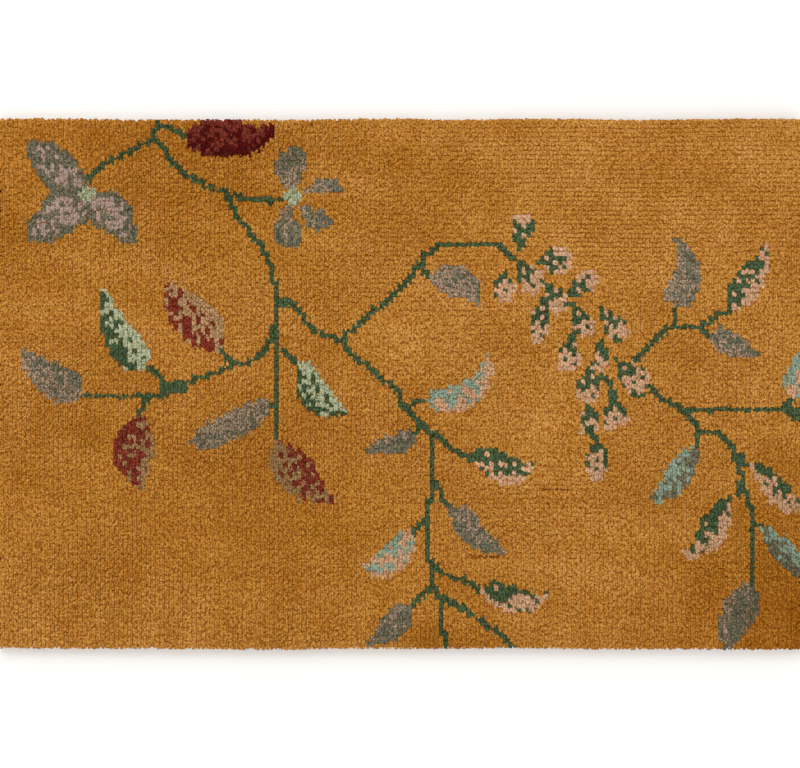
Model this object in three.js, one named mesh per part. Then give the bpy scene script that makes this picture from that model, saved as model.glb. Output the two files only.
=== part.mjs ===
// A cut length of hand-knotted wool pile rug, lying flat: one solid of foundation and pile together.
// Millimetres, +Z up. The origin is under the middle of the length, on the surface it lies on.

import * as THREE from 'three';

// Driving dimensions
const KNOT_PITCH = 3.2;
const KNOT_COLUMNS = 177;
const KNOT_ROWS = 116;
const FOUNDATION_THICKNESS = 3.0;
const PILE_HEIGHT = 7.0;

// Softness of the shape
const PILE_UNEVENNESS = 0.7;
const EDGE_WANDER = 0.6;
const FOUNDATION_INSET = 0.8;
const SHOULDER_DROP = 2.4;
const RIM_INSET = 1.8;
const RIM_DROP = 0.5;

// Fineness of the solid
const CELL_SIZE = 15;

const width = KNOT_COLUMNS * KNOT_PITCH;
const length = KNOT_ROWS * KNOT_PITCH;
const thickness = FOUNDATION_THICKNESS + PILE_HEIGHT;

// The levels of the side wall, from the underside up: how far in each lies, and how high
const wallLevels = [
  { inset: FOUNDATION_INSET, height: 0 },
  { inset: FOUNDATION_INSET, height: FOUNDATION_THICKNESS },
  { inset: 0, height: thickness - SHOULDER_DROP },
  { inset: RIM_INSET, height: thickness - RIM_DROP },
];

// A slow rise and fall of the pile's surface, in millimetres about its mean height
function pileSwell(x, y) {
  const broad = Math.sin(x / 61 + 0.8) * Math.cos(y / 53 - 0.4);
  const slanting = Math.sin((x + 1.7 * y) / 37 + 2.1);
  const small = Math.cos((2.3 * x - y) / 29 + 0.5);
  return PILE_UNEVENNESS * (0.5 * broad + 0.3 * slanting + 0.2 * small);
}

// How far a cut edge strays from a straight line, at a place along that edge
function edgeStray(along, phase) {
  return EDGE_WANDER * (0.6 * Math.sin(along / 47 + phase) + 0.4 * Math.sin(along / 19 + 2 * phase));
}

// Shapes a plain box of unit levels into the lying length: wall levels, swell and uneven cut edges
function shapeRug(geometry) {
  const position = geometry.getAttribute('position');
  const top = wallLevels.length - 1;
  for (let i = 0; i < position.count; i += 1) {
    const x = position.getX(i);
    const y = position.getY(i);
    const levelIndex = Math.round((position.getZ(i) / thickness + 0.5) * top);
    const level = wallLevels[levelIndex];
    const acrossShare = x / (width / 2);
    const alongShare = y / (length / 2);
    const onRim = Math.max(Math.abs(acrossShare), Math.abs(alongShare)) > 1 - 1e-6;
    const reachX = width / 2 - level.inset + edgeStray(y, acrossShare > 0 ? 0.3 : 2.2);
    const reachY = length / 2 - level.inset + edgeStray(x, alongShare > 0 ? 1.1 : 3.4);
    const restsFlat = levelIndex === 0;
    const swell = restsFlat ? 0 : pileSwell(x, y) * (level.height / thickness);
    const height = onRim || restsFlat ? level.height : thickness;
    position.setXYZ(i, acrossShare * reachX, alongShare * reachY, height + swell);
  }
  geometry.computeVertexNormals();
  return geometry;
}

// The whole length as one closed solid, knotted pile and foundation in one piece
function rugGeometry() {
  const cellsAcross = Math.round(width / CELL_SIZE);
  const cellsAlong = Math.round(length / CELL_SIZE);
  const levels = wallLevels.length - 1;
  return shapeRug(new THREE.BoxGeometry(width, length, thickness, cellsAcross, cellsAlong, levels));
}

const goldWool = new THREE.MeshStandardMaterial({
  name: 'gold wool pile',
  color: new THREE.Color().setRGB(0.655, 0.427, 0.173, THREE.SRGBColorSpace),
  roughness: 0.95,
  metalness: 0,
});

const rug = new THREE.Group();
const pileRug = new THREE.Mesh(rugGeometry(), goldWool);
pileRug.name = 'pile_rug';
rug.add(pileRug);

export default rug;
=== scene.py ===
"""Dresses the cut length of hand-knotted wool pile rug.

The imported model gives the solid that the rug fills. Around it the script charts the trailing design knot by
knot, stands two cut tufts on every knot, weaves the cotton foundation under them, and sets the lights and the
camera. Everything is in metres, +Z up, with the origin on the floor under the middle of the rug.
"""

import logging
import math
from abc import ABC, abstractmethod
from collections.abc import Iterator
from dataclasses import dataclass, field
from enum import Enum
from functools import cached_property

import bpy
import numpy as np
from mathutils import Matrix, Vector
from mathutils.bvhtree import BVHTree


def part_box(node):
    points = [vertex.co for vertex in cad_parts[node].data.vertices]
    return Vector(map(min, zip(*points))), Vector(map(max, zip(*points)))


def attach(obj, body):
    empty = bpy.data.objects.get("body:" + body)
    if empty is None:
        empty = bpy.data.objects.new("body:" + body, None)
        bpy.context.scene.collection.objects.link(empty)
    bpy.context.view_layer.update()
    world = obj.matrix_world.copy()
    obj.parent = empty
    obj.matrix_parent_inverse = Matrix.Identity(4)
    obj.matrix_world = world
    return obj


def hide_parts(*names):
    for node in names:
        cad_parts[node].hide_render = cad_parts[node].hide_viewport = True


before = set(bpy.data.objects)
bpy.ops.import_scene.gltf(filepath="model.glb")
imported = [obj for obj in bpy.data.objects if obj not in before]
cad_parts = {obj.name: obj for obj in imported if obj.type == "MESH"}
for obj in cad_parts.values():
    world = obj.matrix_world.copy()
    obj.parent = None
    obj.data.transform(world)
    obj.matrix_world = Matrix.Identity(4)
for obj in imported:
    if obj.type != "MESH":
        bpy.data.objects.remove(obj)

log = logging.getLogger("pile_rug")

MM = 0.001
SEED = 4117
RUG_NODE = "pile_rug"
BODY = "root"
FIBRE_RELIEF = 0.4 * MM

# A place on the chart is a column and a row in knots, from the left and the far edge of the view
Place = tuple[float, float]

# A colour is linear red, green and blue
Colour = tuple[float, float, float]


def dye(red: int, green: int, blue: int) -> Colour:
    """Turns a dye's colour as it is seen on a screen into linear light.

    Args:
        red: Red, 0 to 255.
        green: Green, 0 to 255.
        blue: Blue, 0 to 255.

    Returns:
        The same colour as linear red, green and blue.
    """
    return tuple(
        part / 12.92 if part <= 0.04045 else ((part + 0.055) / 1.055) ** 2.4
        for part in (red / 255, green / 255, blue / 255)
    )


def smooth_step(low: float, high: float, value: np.ndarray) -> np.ndarray:
    """Rises softly from 0 to 1.

    Args:
        low: Where the rise begins.
        high: Where it ends.
        value: The numbers to weigh.

    Returns:
        0 below low, 1 above high and a smooth rise between them.
    """
    share = np.clip((value - low) / (high - low), 0, 1)
    return share * share * (3 - 2 * share)


@dataclass(frozen=True)
class DriftField:
    """A slow, seeded rise and fall over the rug, about 0 with a spread of about 1."""

    seed: int
    wavelength: float
    waves: int = 7

    def at(self, x: np.ndarray, y: np.ndarray) -> np.ndarray:
        """Reads the field.

        Args:
            x: Places along X, in the unit of the wavelength.
            y: Places along Y.

        Returns:
            The field's value at each place.
        """
        rng = np.random.default_rng(self.seed)
        total = np.zeros(np.broadcast(x, y).shape)
        for _ in range(self.waves):
            heading = rng.uniform(0, math.tau)
            turns = math.tau / (self.wavelength * rng.uniform(0.7, 1.5))
            phase = rng.uniform(0, math.tau)
            total += np.sin(turns * (x * math.cos(heading) + y * math.sin(heading)) + phase)
        return total * math.sqrt(2 / self.waves)


# The knots and the chart


class Yarn(Enum):
    """The dyed yarns of the pile, with the number that each has on the chart."""

    GOLD = 0
    VINE_GREEN = 1
    PALE_GREEN = 2
    SLATE = 3
    MAUVE = 4
    PINK = 5
    TURQUOISE = 6
    MAROON = 7
    TAUPE = 8
    CRIMSON = 9
    ROSE = 10
    BLUSH = 11
    BROWN = 12


class Blend(Enum):
    """How the two yarns of a leaf or petal meet along its middle."""

    DOTTED = "single knots of each yarn strewn into the other"
    HEATHERED = "both yarns mixed knot by knot, each gathering on its own side"


@dataclass(frozen=True)
class KnotGrid:
    """The lattice of knots that the rug is tied on."""

    pitch: float = 3.2 * MM
    columns: int = 177
    rows: int = 116
    spare_columns: int = 1

    @property
    def width(self) -> float:
        """The nominal width over all columns."""
        return self.columns * self.pitch

    @property
    def length(self) -> float:
        """The nominal length over all rows."""
        return self.rows * self.pitch


@dataclass
class Chart:
    """The weaver's chart: one yarn for each knot, row by row from the far edge."""

    grid: KnotGrid
    dot_columns: float = 2.5
    dot_rows: float = 2.1
    dot_stray: float = 0.45
    dot_sight: float = 3.0
    spare_dots: int = 3
    yarn: np.ndarray = field(init=False)
    x: np.ndarray = field(init=False)
    y: np.ndarray = field(init=False)
    chance: np.ndarray = field(init=False)
    dot_distance: np.ndarray = field(init=False)

    def __post_init__(self) -> None:
        """Lays out an empty chart of gold knots, with the dots' places and one throw of chance a knot."""
        rng = np.random.default_rng(SEED)
        columns = np.arange(self.grid.columns) + 0.5 - self.grid.spare_columns
        rows = np.arange(self.grid.rows) + 0.5
        self.x, self.y = np.meshgrid(columns, rows)
        self.yarn = np.full(self.x.shape, Yarn.GOLD.value)
        self.chance = rng.random(self.x.shape)
        self.dot_distance = self._strew_dots(rng)

    def _strew_dots(self, rng: np.random.Generator) -> np.ndarray:
        """Strews dots in staggered rows.

        Args:
            rng: The source of each dot's small stray.

        Returns:
            Each knot's distance from the nearest dot, in knots.
        """
        nearest = np.full(self.x.shape, np.inf)
        across = int(self.grid.columns / self.dot_columns) + self.spare_dots
        along = int(self.grid.rows / self.dot_rows) + self.spare_dots
        stray = rng.uniform(-self.dot_stray, self.dot_stray, (along, across, 2))
        for j in range(along):
            near_rows = np.abs(self.y[:, 0] - j * self.dot_rows) < self.dot_sight
            x = self.x[near_rows]
            y = self.y[near_rows]
            for i in range(across):
                column = (i - 1 + 0.5 * (j % 2)) * self.dot_columns + stray[j, i, 0]
                row = j * self.dot_rows + stray[j, i, 1]
                reach = np.hypot(x - column, y - row)
                nearest[near_rows] = np.minimum(nearest[near_rows], reach)
        return nearest

    def tie(self, knots: np.ndarray, yarn: Yarn) -> None:
        """Ties one yarn on the marked knots.

        Args:
            knots: True for each knot to tie.
            yarn: The yarn to tie on them.
        """
        self.yarn[knots] = yarn.value

    def kin(self) -> np.ndarray:
        """Counts, for each knot, those of the four knots beside it that are in its own yarn."""
        wide = np.pad(self.yarn, 1, mode="edge")
        beside = (wide[:-2, 1:-1], wide[2:, 1:-1], wide[1:-1, :-2], wide[1:-1, 2:])
        return sum((other == self.yarn).astype(int) for other in beside)


class Motif(ABC):
    """A part of the design that can be drawn on the chart."""

    @abstractmethod
    def draw(self, chart: Chart) -> None:
        """Ties the motif's knots on the chart."""


@dataclass(frozen=True)
class Stem(Motif):
    """A line of green knots along a route, one knot wide or thickened."""

    route: tuple[Place, ...]
    thickness: float = 1.0
    step: float = 0.1

    def draw(self, chart: Chart) -> None:
        """Ties the stem's knots on the chart, each beside the one before it."""
        last = None
        for column, row in self._points():
            if self.thickness > 1:
                chart.tie(np.hypot(chart.x - column, chart.y - row) < self.thickness / 2, Yarn.VINE_GREEN)
                continue
            knot = math.floor(column), math.floor(row)
            if last and knot[0] != last[0] and knot[1] != last[1]:
                self._tie_one(chart, last[0], knot[1])
            self._tie_one(chart, *knot)
            last = knot

    def _points(self) -> Iterator[Place]:
        """Walks along the route in short steps and gives each place on the way."""
        for start, end in zip(self.route, self.route[1:]):
            steps = max(1, math.ceil(math.dist(start, end) / self.step))
            for share in np.linspace(0, 1, steps + 1):
                yield start[0] + (end[0] - start[0]) * share, start[1] + (end[1] - start[1]) * share

    @staticmethod
    def _tie_one(chart: Chart, column: int, row: int) -> None:
        """Ties one knot, unless it lies off the chart.

        Args:
            chart: The chart to tie it on.
            column: The knot's column, counted from the left edge of the view.
            row: Its row.
        """
        across = column + chart.grid.spare_columns
        if 0 <= across < chart.grid.columns and 0 <= row < chart.grid.rows:
            chart.yarn[row, across] = Yarn.VINE_GREEN.value


@dataclass(frozen=True)
class LeafEdge:
    """How one edge of a leaf swells from the base to its belly and closes towards the tip, in knots."""

    width: float
    belly: float = 0.4
    blunt: float = 0.6
    taper: float = 1.0

    def reach(self, share: np.ndarray) -> np.ndarray:
        """Measures how far the edge lies from the leaf's middle line.

        Args:
            share: The share of the way from the base to the tip.

        Returns:
            The edge's distance in knots at each share.
        """
        swell = np.sin(0.5 * math.pi * np.minimum(share / self.belly, 1)) ** self.blunt
        past_belly = np.clip((share - self.belly) / (1 - self.belly), 0, 1)
        return self.width * swell * np.cos(0.5 * math.pi * past_belly) ** self.taper


@dataclass(frozen=True)
class Leaf(Motif):
    """A pointed leaf in two yarns. Left and right are as seen on the way from its base to its tip.

    The yarns meet on a line that lies off the leaf's bowed middle by the share of its half width that middle
    says. From the base to the tip the line moves to the right by twice the swing.
    """

    base: Place
    tip: Place
    left: Yarn
    right: Yarn
    blend: Blend
    left_edge: LeafEdge
    right_edge: LeafEdge
    bow: float
    middle: float = 0.0
    swing: float = 0.0
    dot_size: float = 0.74
    dots_shrink_from: float = 0.4
    dots_end_at: float = 0.95
    mix_reach: float = 1.4
    least_width: float = 0.05
    end_gap: float = 0.001

    def _frame(self, chart: Chart) -> tuple[np.ndarray, np.ndarray]:
        """Places every knot in the leaf's own frame.

        Args:
            chart: The chart that holds the knots.

        Returns:
            How far each knot leans to the right of the line where the two yarns meet, and a mask of the knots
            inside the leaf.
        """
        along_x = self.tip[0] - self.base[0]
        along_y = self.tip[1] - self.base[1]
        length = math.hypot(along_x, along_y)
        x = chart.x - self.base[0]
        y = chart.y - self.base[1]
        share = (x * along_x + y * along_y) / length**2
        inside = (share > 0) & (share < 1)
        share = np.clip(share, self.end_gap, 1 - self.end_gap)
        across = (y * along_x - x * along_y) / length - self.bow * np.sin(math.pi * share)
        width = np.where(across > 0, self.right_edge.reach(share), self.left_edge.reach(share))
        side = across / np.maximum(width, self.least_width)
        meeting = self.middle + self.swing * (2 * share - 1)
        return side - meeting, inside & (np.abs(side) <= 1)

    def draw(self, chart: Chart) -> None:
        """Ties the leaf's knots on the chart."""
        lean, inside = self._frame(chart)
        if self.blend is Blend.HEATHERED:
            right = chart.chance < smooth_step(-self.mix_reach, self.mix_reach, lean)
        else:
            size = self.dot_size * (1 - smooth_step(self.dots_shrink_from, self.dots_end_at, np.abs(lean)))
            right = (lean > 0) ^ (chart.dot_distance < size)
        chart.tie(inside & right, self.right)
        chart.tie(inside & ~right, self.left)


@dataclass(frozen=True)
class Petal(Motif):
    """A petal inside an outline, light near the flower's heart and dark at its rim and towards its tip."""

    outline: tuple[Place, ...]
    heart: Place
    light: Yarn
    dark: Yarn
    light_reach: float = 8.0
    blend: Blend = Blend.DOTTED
    rim: float = 1.1
    dark_dot: float = 0.62
    light_dot: float = 0.86
    mix_from: float = 0.1
    mix_to: float = 1.3
    most_dark: float = 0.9

    def _distance_inside(self, chart: Chart) -> np.ndarray:
        """Measures how far inside the outline each knot lies.

        Args:
            chart: The chart that holds the knots.

        Returns:
            The distance from the outline in knots, negative outside it.
        """
        inside = np.zeros(chart.x.shape, bool)
        nearest = np.full(chart.x.shape, np.inf)
        for start, end in zip(self.outline, self.outline[1:] + self.outline[:1]):
            run_x = end[0] - start[0]
            run_y = end[1] - start[1]
            x = chart.x - start[0]
            y = chart.y - start[1]
            along = np.clip((x * run_x + y * run_y) / (run_x**2 + run_y**2), 0, 1)
            nearest = np.minimum(nearest, np.hypot(x - along * run_x, y - along * run_y))
            if run_y:
                crosses = (y > 0) != (chart.y > end[1])
                inside ^= crosses & (x < run_x * y / run_y)
        return np.where(inside, nearest, -nearest)

    def draw(self, chart: Chart) -> None:
        """Ties the petal's knots on the chart."""
        depth = self._distance_inside(chart)
        reach = np.hypot(chart.x - self.heart[0], chart.y - self.heart[1]) / self.light_reach
        inside = depth > 0
        if self.blend is Blend.HEATHERED:
            light = chart.chance > smooth_step(self.mix_from, self.mix_to, reach) * self.most_dark
        else:
            near_heart = chart.dot_distance > self.dark_dot
            near_tip = chart.dot_distance < self.light_dot
            light = (depth > self.rim) & np.where(reach < 1, near_heart, near_tip)
        chart.tie(inside & light, self.light)
        chart.tie(inside & ~light, self.dark)


@dataclass(frozen=True)
class Bell(Motif):
    """A small hanging bell flower: a green crown with a few pink knots, a pink hem with a few green ones."""

    crown: Place
    hem: Place
    half_width: float = 2.4
    hem_share: float = 0.55
    widest: float = 0.68
    cap: float = 0.0
    bare_crown: float = 1.3
    bare_hem: float = 1.2
    bare_side: float = 0.25
    shift: int = 0
    neck: float = 0.55
    flare: float = 1.2
    crown_gap: float = 0.02
    closed_at: float = 1.04

    # The dots stand on every fourth knot of a row, two knots further on in the next row
    DOT_EVERY = 4
    DOT_STEP = 2

    def draw(self, chart: Chart) -> None:
        """Ties the bell's knots on the chart."""
        along_x = self.hem[0] - self.crown[0]
        along_y = self.hem[1] - self.crown[1]
        length = math.hypot(along_x, along_y)
        x = chart.x - self.crown[0]
        y = chart.y - self.crown[1]
        down = (x * along_x + y * along_y) / length
        aside = np.abs(y * along_x - x * along_y) / length
        share = down / length
        opening = np.sin(0.5 * math.pi * np.clip(share / self.widest, self.crown_gap, 1)) ** self.flare
        past_widest = np.clip((share - self.widest) / (self.closed_at - self.widest), 0, 1)
        closing = np.sqrt(np.clip(1 - past_widest**2, 0, 1))
        width = np.maximum(self.half_width * opening * closing, self.neck * (share < self.widest))
        inside = (share > 0) & (share < 1) & (aside < width)
        border = self.hem_share + self.cap * (aside / self.half_width) ** 2
        dotted = (down > self.bare_crown) & (down < length - self.bare_hem)
        dotted &= aside < width - self.bare_side
        light = (share > border) ^ (dotted & self._dots(chart))
        chart.tie(inside & light, Yarn.PINK)
        chart.tie(inside & ~light, Yarn.VINE_GREEN)

    def _dots(self, chart: Chart) -> np.ndarray:
        """Marks the knots that the lattice of dots falls on and returns the marks."""
        row = np.floor(chart.y).astype(int)
        column = np.floor(chart.x).astype(int)
        return (column + self.DOT_STEP * row + self.shift) % self.DOT_EVERY == 0


@dataclass(frozen=True)
class Heart(Motif):
    """The small round heart of a flower."""

    centre: Place
    radius: float
    yarn: Yarn = Yarn.PALE_GREEN

    def draw(self, chart: Chart) -> None:
        """Ties the heart's knots on the chart."""
        reach = np.hypot(chart.x - self.centre[0], chart.y - self.centre[1])
        chart.tie(reach < self.radius, self.yarn)


# The routes of the green stems, main ones first, one knot wide. Their points were read off the photograph.
STEM_ROUTES = (
    (
        (34, 0), (34, 2.5), (33.5, 4.5), (31.2, 5.7), (27.5, 7.5), (24.5, 9), (22.5, 10), (21, 11.5),
        (19.5, 13),
    ),
    ((34.5, 1), (35.5, 1.5), (37.5, 2), (41, 3.5)),
    ((33.8, 4.3), (36.2, 7.1), (38.5, 10), (41, 12.5), (45.5, 14.5), (48.5, 15.5), (50, 16.5)),
    ((50, 16), (51.5, 16), (52.5, 17), (56, 17), (59, 18), (62, 17.5)),
    ((49.5, 16.5), (52, 21), (54.5, 24.5), (57.5, 28), (59, 31.5), (60, 35), (60.5, 38.5)),
    ((60.5, 38.5), (60.5, 43.5), (60, 48.5), (60.5, 51), (60.5, 69), (61.2, 70.5)),
    ((60.5, 45), (59.5, 46), (60.5, 47)),
    ((60.5, 62.5), (59, 62.5)),
    ((60, 47), (57.5, 51), (54.5, 53), (52.5, 53.5), (50.5, 54), (47, 55.5), (42.5, 57), (39, 58)),
    ((48.5, 50.5), (49.5, 52), (50.5, 53)),
    ((36, 57.5), (34, 56), (32.5, 54.5)),
    ((36.5, 60.6), (18, 60.6)),
    ((32, 61), (31.5, 63), (30.5, 64.5)),
    ((60.5, 49.8), (62.5, 51), (64.5, 52.5), (65, 53.5)),
    ((61, 39), (63.5, 40), (66.5, 43), (67, 44.5), (68.5, 46), (70.5, 47), (72, 47.5), (75, 48.5)),
    ((75, 48.5), (75.5, 47), (78.5, 45.5), (81.5, 42), (84, 40.5), (87, 37.5), (89.5, 35), (91.5, 32)),
    ((91.5, 32), (92, 31), (94, 29), (96.5, 27.5), (103, 27.5), (109, 27.5), (110.5, 29), (112.5, 30.5)),
    ((92, 32.5), (93, 33), (94, 34)),
    ((75, 48.5), (76, 50.5), (79.5, 53.5), (84, 57), (85.5, 58), (87, 59.5), (88, 62), (90, 64)),
    ((90, 64), (92, 66), (94.5, 68.5), (96.5, 70), (98.5, 72), (102.5, 74)),
    ((88.5, 62), (90.5, 62), (91.5, 61), (93, 61)),
    ((92, 67), (91.5, 67.5), (90.5, 68.5)),
    ((94.5, 69), (94.5, 73.5), (94.5, 77), (95, 79.5), (94.5, 82.5), (93.5, 85), (93.5, 92), (94, 96.5)),
    ((94, 96.5), (95, 98), (94.5, 101), (95, 102.5), (96, 104.5), (96, 110), (97, 112.5), (97, 116)),
    ((95, 80), (96.5, 81), (97, 83.5), (99, 85)),
    ((93.5, 87), (92, 88), (90.5, 90)),
    ((95, 97.5), (96.5, 98.5), (97.5, 99.5), (100, 100.5), (102, 101), (105, 103), (106.4, 103.3)),
    ((94.5, 101.5), (93, 103.5), (92, 104.5), (90, 106)),
    ((138.5, 53), (140, 51), (142.5, 49), (144.5, 47), (146.5, 45.5), (150, 45.5), (153, 45.5)),
    ((147, 45.5), (147, 40)),
    ((153, 45.5), (154.5, 44.5), (156, 43.5), (159, 42)),
    ((153, 45.5), (154, 46.5), (155, 47)),
    ((141.5, 58), (143.5, 60), (144.5, 61), (147, 62), (149, 63), (151.5, 66), (152.5, 67.5)),
    ((149, 63), (153.5, 63), (155.5, 64), (163, 63.5), (171.5, 63.5), (176, 64)),
    ((171.5, 63.5), (173, 61.5), (173.5, 60.5)),
    ((152.5, 67.5), (152.5, 71)),
    ((152.5, 68.5), (155.5, 68.5), (157.5, 69), (159.5, 70.5), (160.5, 72), (161, 74), (162.2, 78)),
    ((162.2, 78), (162.5, 80.5), (163.7, 83.5), (164.5, 86.5), (164.5, 93), (164.5, 98.5), (164.5, 101.5)),
    ((161, 73), (162.5, 74), (163, 75)),
    ((161.5, 79.5), (161, 82)),
    ((164.5, 87.5), (165.5, 88.5), (166.5, 89)),
)

# The routes of the thickened stems, under their thickness in knots
THICK_STEM_ROUTES = {
    3.0: (
        ((36.9, 59), (37.3, 58.7), (39.6, 58.7)),
    ),
    2.0: (
        ((61, 39.4), (63.8, 40.3)),
    ),
    1.4: (
        ((96, 104.2), (99.5, 106.3), (103, 108), (105, 110), (108.7, 112.3), (112.4, 116)),
    ),
    1.6: (
        ((172.5, 63.5), (174, 65), (176, 66.5)),
    ),
}

# The leaves, under the yarns of their left and right side. A row holds base, tip, left edge, right edge and
# bow, then the middle and swing of the line where the yarns meet. Most edge numbers and bows come from a fit
# through outline places that were read off the photograph.
DOTTED_LEAVES = {
    (Yarn.VINE_GREEN, Yarn.PALE_GREEN): (
        ((31.8, 54.9), (22.8, 36.3), (3.6, 0.13, 0.78, 0.7), (4.1, 0.25, 0.8, 1.1), -2.1, -0.1),
    ),
    (Yarn.MAROON, Yarn.TAUPE): (
        ((48.8, 50.3), (36.8, 34.7), (7.6, 0.51, 0.62, 0.9), (2.7, 0.28, 0.74, 3.0), 1.8, -0.52, -0.2),
    ),
    (Yarn.BROWN, Yarn.MAROON): (
        ((30.5, 64.8), (31, 82.3), (2.7, 0.3, 0.5, 1.1), (6.6, 0.5, 0.68, 1.5), -0.5, 0.12, 0.6),
    ),
    (Yarn.MAROON, Yarn.BROWN): (
        ((60.5, 70), (74, 82.7), (2.5, 0.42, 0.94, 3.0), (6.1, 0.38, 0.61, 0.5), 0.7, 0.1, 0.4),
    ),
    (Yarn.PALE_GREEN, Yarn.VINE_GREEN): (
        ((65, 53), (76.5, 64), (2.6, 0.14, 1.13, 1.1), (4.9, 0.57, 0.81, 0.5), 1.1, 0.34),
    ),
    (Yarn.VINE_GREEN, Yarn.PINK): (
        ((103, 74.3), (118.1, 74.8), (4.3, 0.23, 0.91, 1.3), (3.4, 0.74, 0.57, 1.7), 2.2, 0.1),
        ((105.2, 103), (120.3, 103.4), (2.6, 0.22, 1.13, 3.0), (4.1, 0.58, 0.38, 0.5), 0.9, 0.24),
        ((159.6, 42), (167.2, 27), (4.1, 0.36, 0.79, 1.5), (2.4, 0.19, 1.01, 0.3), 1.5, -0.08),
        ((163.2, 74.7), (178, 86), (2.4, 0.35, 0.66, 2.9), (3.8, 0.65, 1.0, 1.1), 0.2),
    ),
    (Yarn.PINK, Yarn.VINE_GREEN): (
        ((159.8, 82.3), (148.7, 94.8), (2.7, 0.75, 0.67, 0.4), (4.4, 0.45, 0.94, 3.0), -2.8, -0.06),
    ),
}

HEATHERED_LEAVES = {
    (Yarn.MAUVE, Yarn.SLATE): (
        ((18, 60.8), (5.2, 50), (5.5, 0.36, 0.66, 0.5), (2.7, 0.22, 0.82, 3.0), 0.7, -0.02),
        ((98.6, 85), (111, 94.7), (3.2, 0.18, 1.16, 0.8), (2.9, 0.55, 0.47, 1.0), 1.3, -0.1),
        ((148.3, 41.1), (146.7, 25.7), (4.2, 0.2, 0.89, 3.0), (3.7, 0.27, 0.23, 0.5), 2.3, 0.06),
    ),
    (Yarn.SLATE, Yarn.MAUVE): (
        ((59.3, 62.8), (40.8, 70.8), (2.8, 0.66, 0.36, 0.7), (3.3, 0.43, 0.2, 0.7), -0.7, -0.6),
        ((90.7, 69.2), (79.8, 72.2), (3.3, 0.33, 0.5, 0.6), (1.1, 0.12, 0.35, 1.1), 0.8, 0.75),
        ((90, 105.7), (79.4, 114.8), (3.6, 0.39, 0.66, 0.6), (2.5, 0.32, 0.9, 1.9), -0.5, 0.15),
        ((93.8, 34.8), (104.4, 40.8), (4.7, 0.28, 0.63, 0.2), (2.5, 0.38, 0.63, 1.9), -1.2, -0.75),
        ((154.9, 47.3), (166.2, 51.7), (3.1, 0.2, 0.81, 0.8), (2.2, 0.41, 0.45, 0.6), 0.4, -0.12),
        ((163.7, 101.5), (158, 119), (3.8, 0.27, 0.37, 1.4), (3.7, 0.37, 0.45, 1.2), 0.2, 0.3),
    ),
    (Yarn.TURQUOISE, Yarn.PINK): (
        ((93, 61), (106.4, 51.2), (2.0, 0.19, 1.4, 3.0), (4.6, 0.12, 0.2, 0.2), 3.1, 0.15, -0.5),
        ((173, 60.6), (181, 46.5), (3.4, 0.13, 0.35, 0.5), (4.8, 0.38, 0.47, 0.5), -0.5, 0.3),
    ),
    (Yarn.PINK, Yarn.TURQUOISE): (
        ((89.8, 90), (79.2, 97.6), (5.2, 0.61, 0.25, 0.4), (1.8, 0.13, 1.25, 2.4), -0.5, -0.27),
    ),
    (Yarn.SLATE, Yarn.TURQUOISE): (
        ((152.3, 71.3), (142, 83), (4.6, 0.58, 0.58, 0.5), (1.4, 0.42, 0.21, 3.0), 0.4, -0.35),
    ),
    (Yarn.TURQUOISE, Yarn.SLATE): (
        ((166.3, 89.2), (180, 102), (2.6, 0.47, 0.35, 1.3), (2.5, 0.47, 0.94, 0.7), 0.6, 0.1),
    ),
    (Yarn.ROSE, Yarn.CRIMSON): (
        ((40.9, 3.5), (60.4, 0.8), (4.0, 0.39, 0.64, 3.0), (5.1, 0.59, 0.24, 0.4), 1.1, 0.25),
    ),
}


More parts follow.
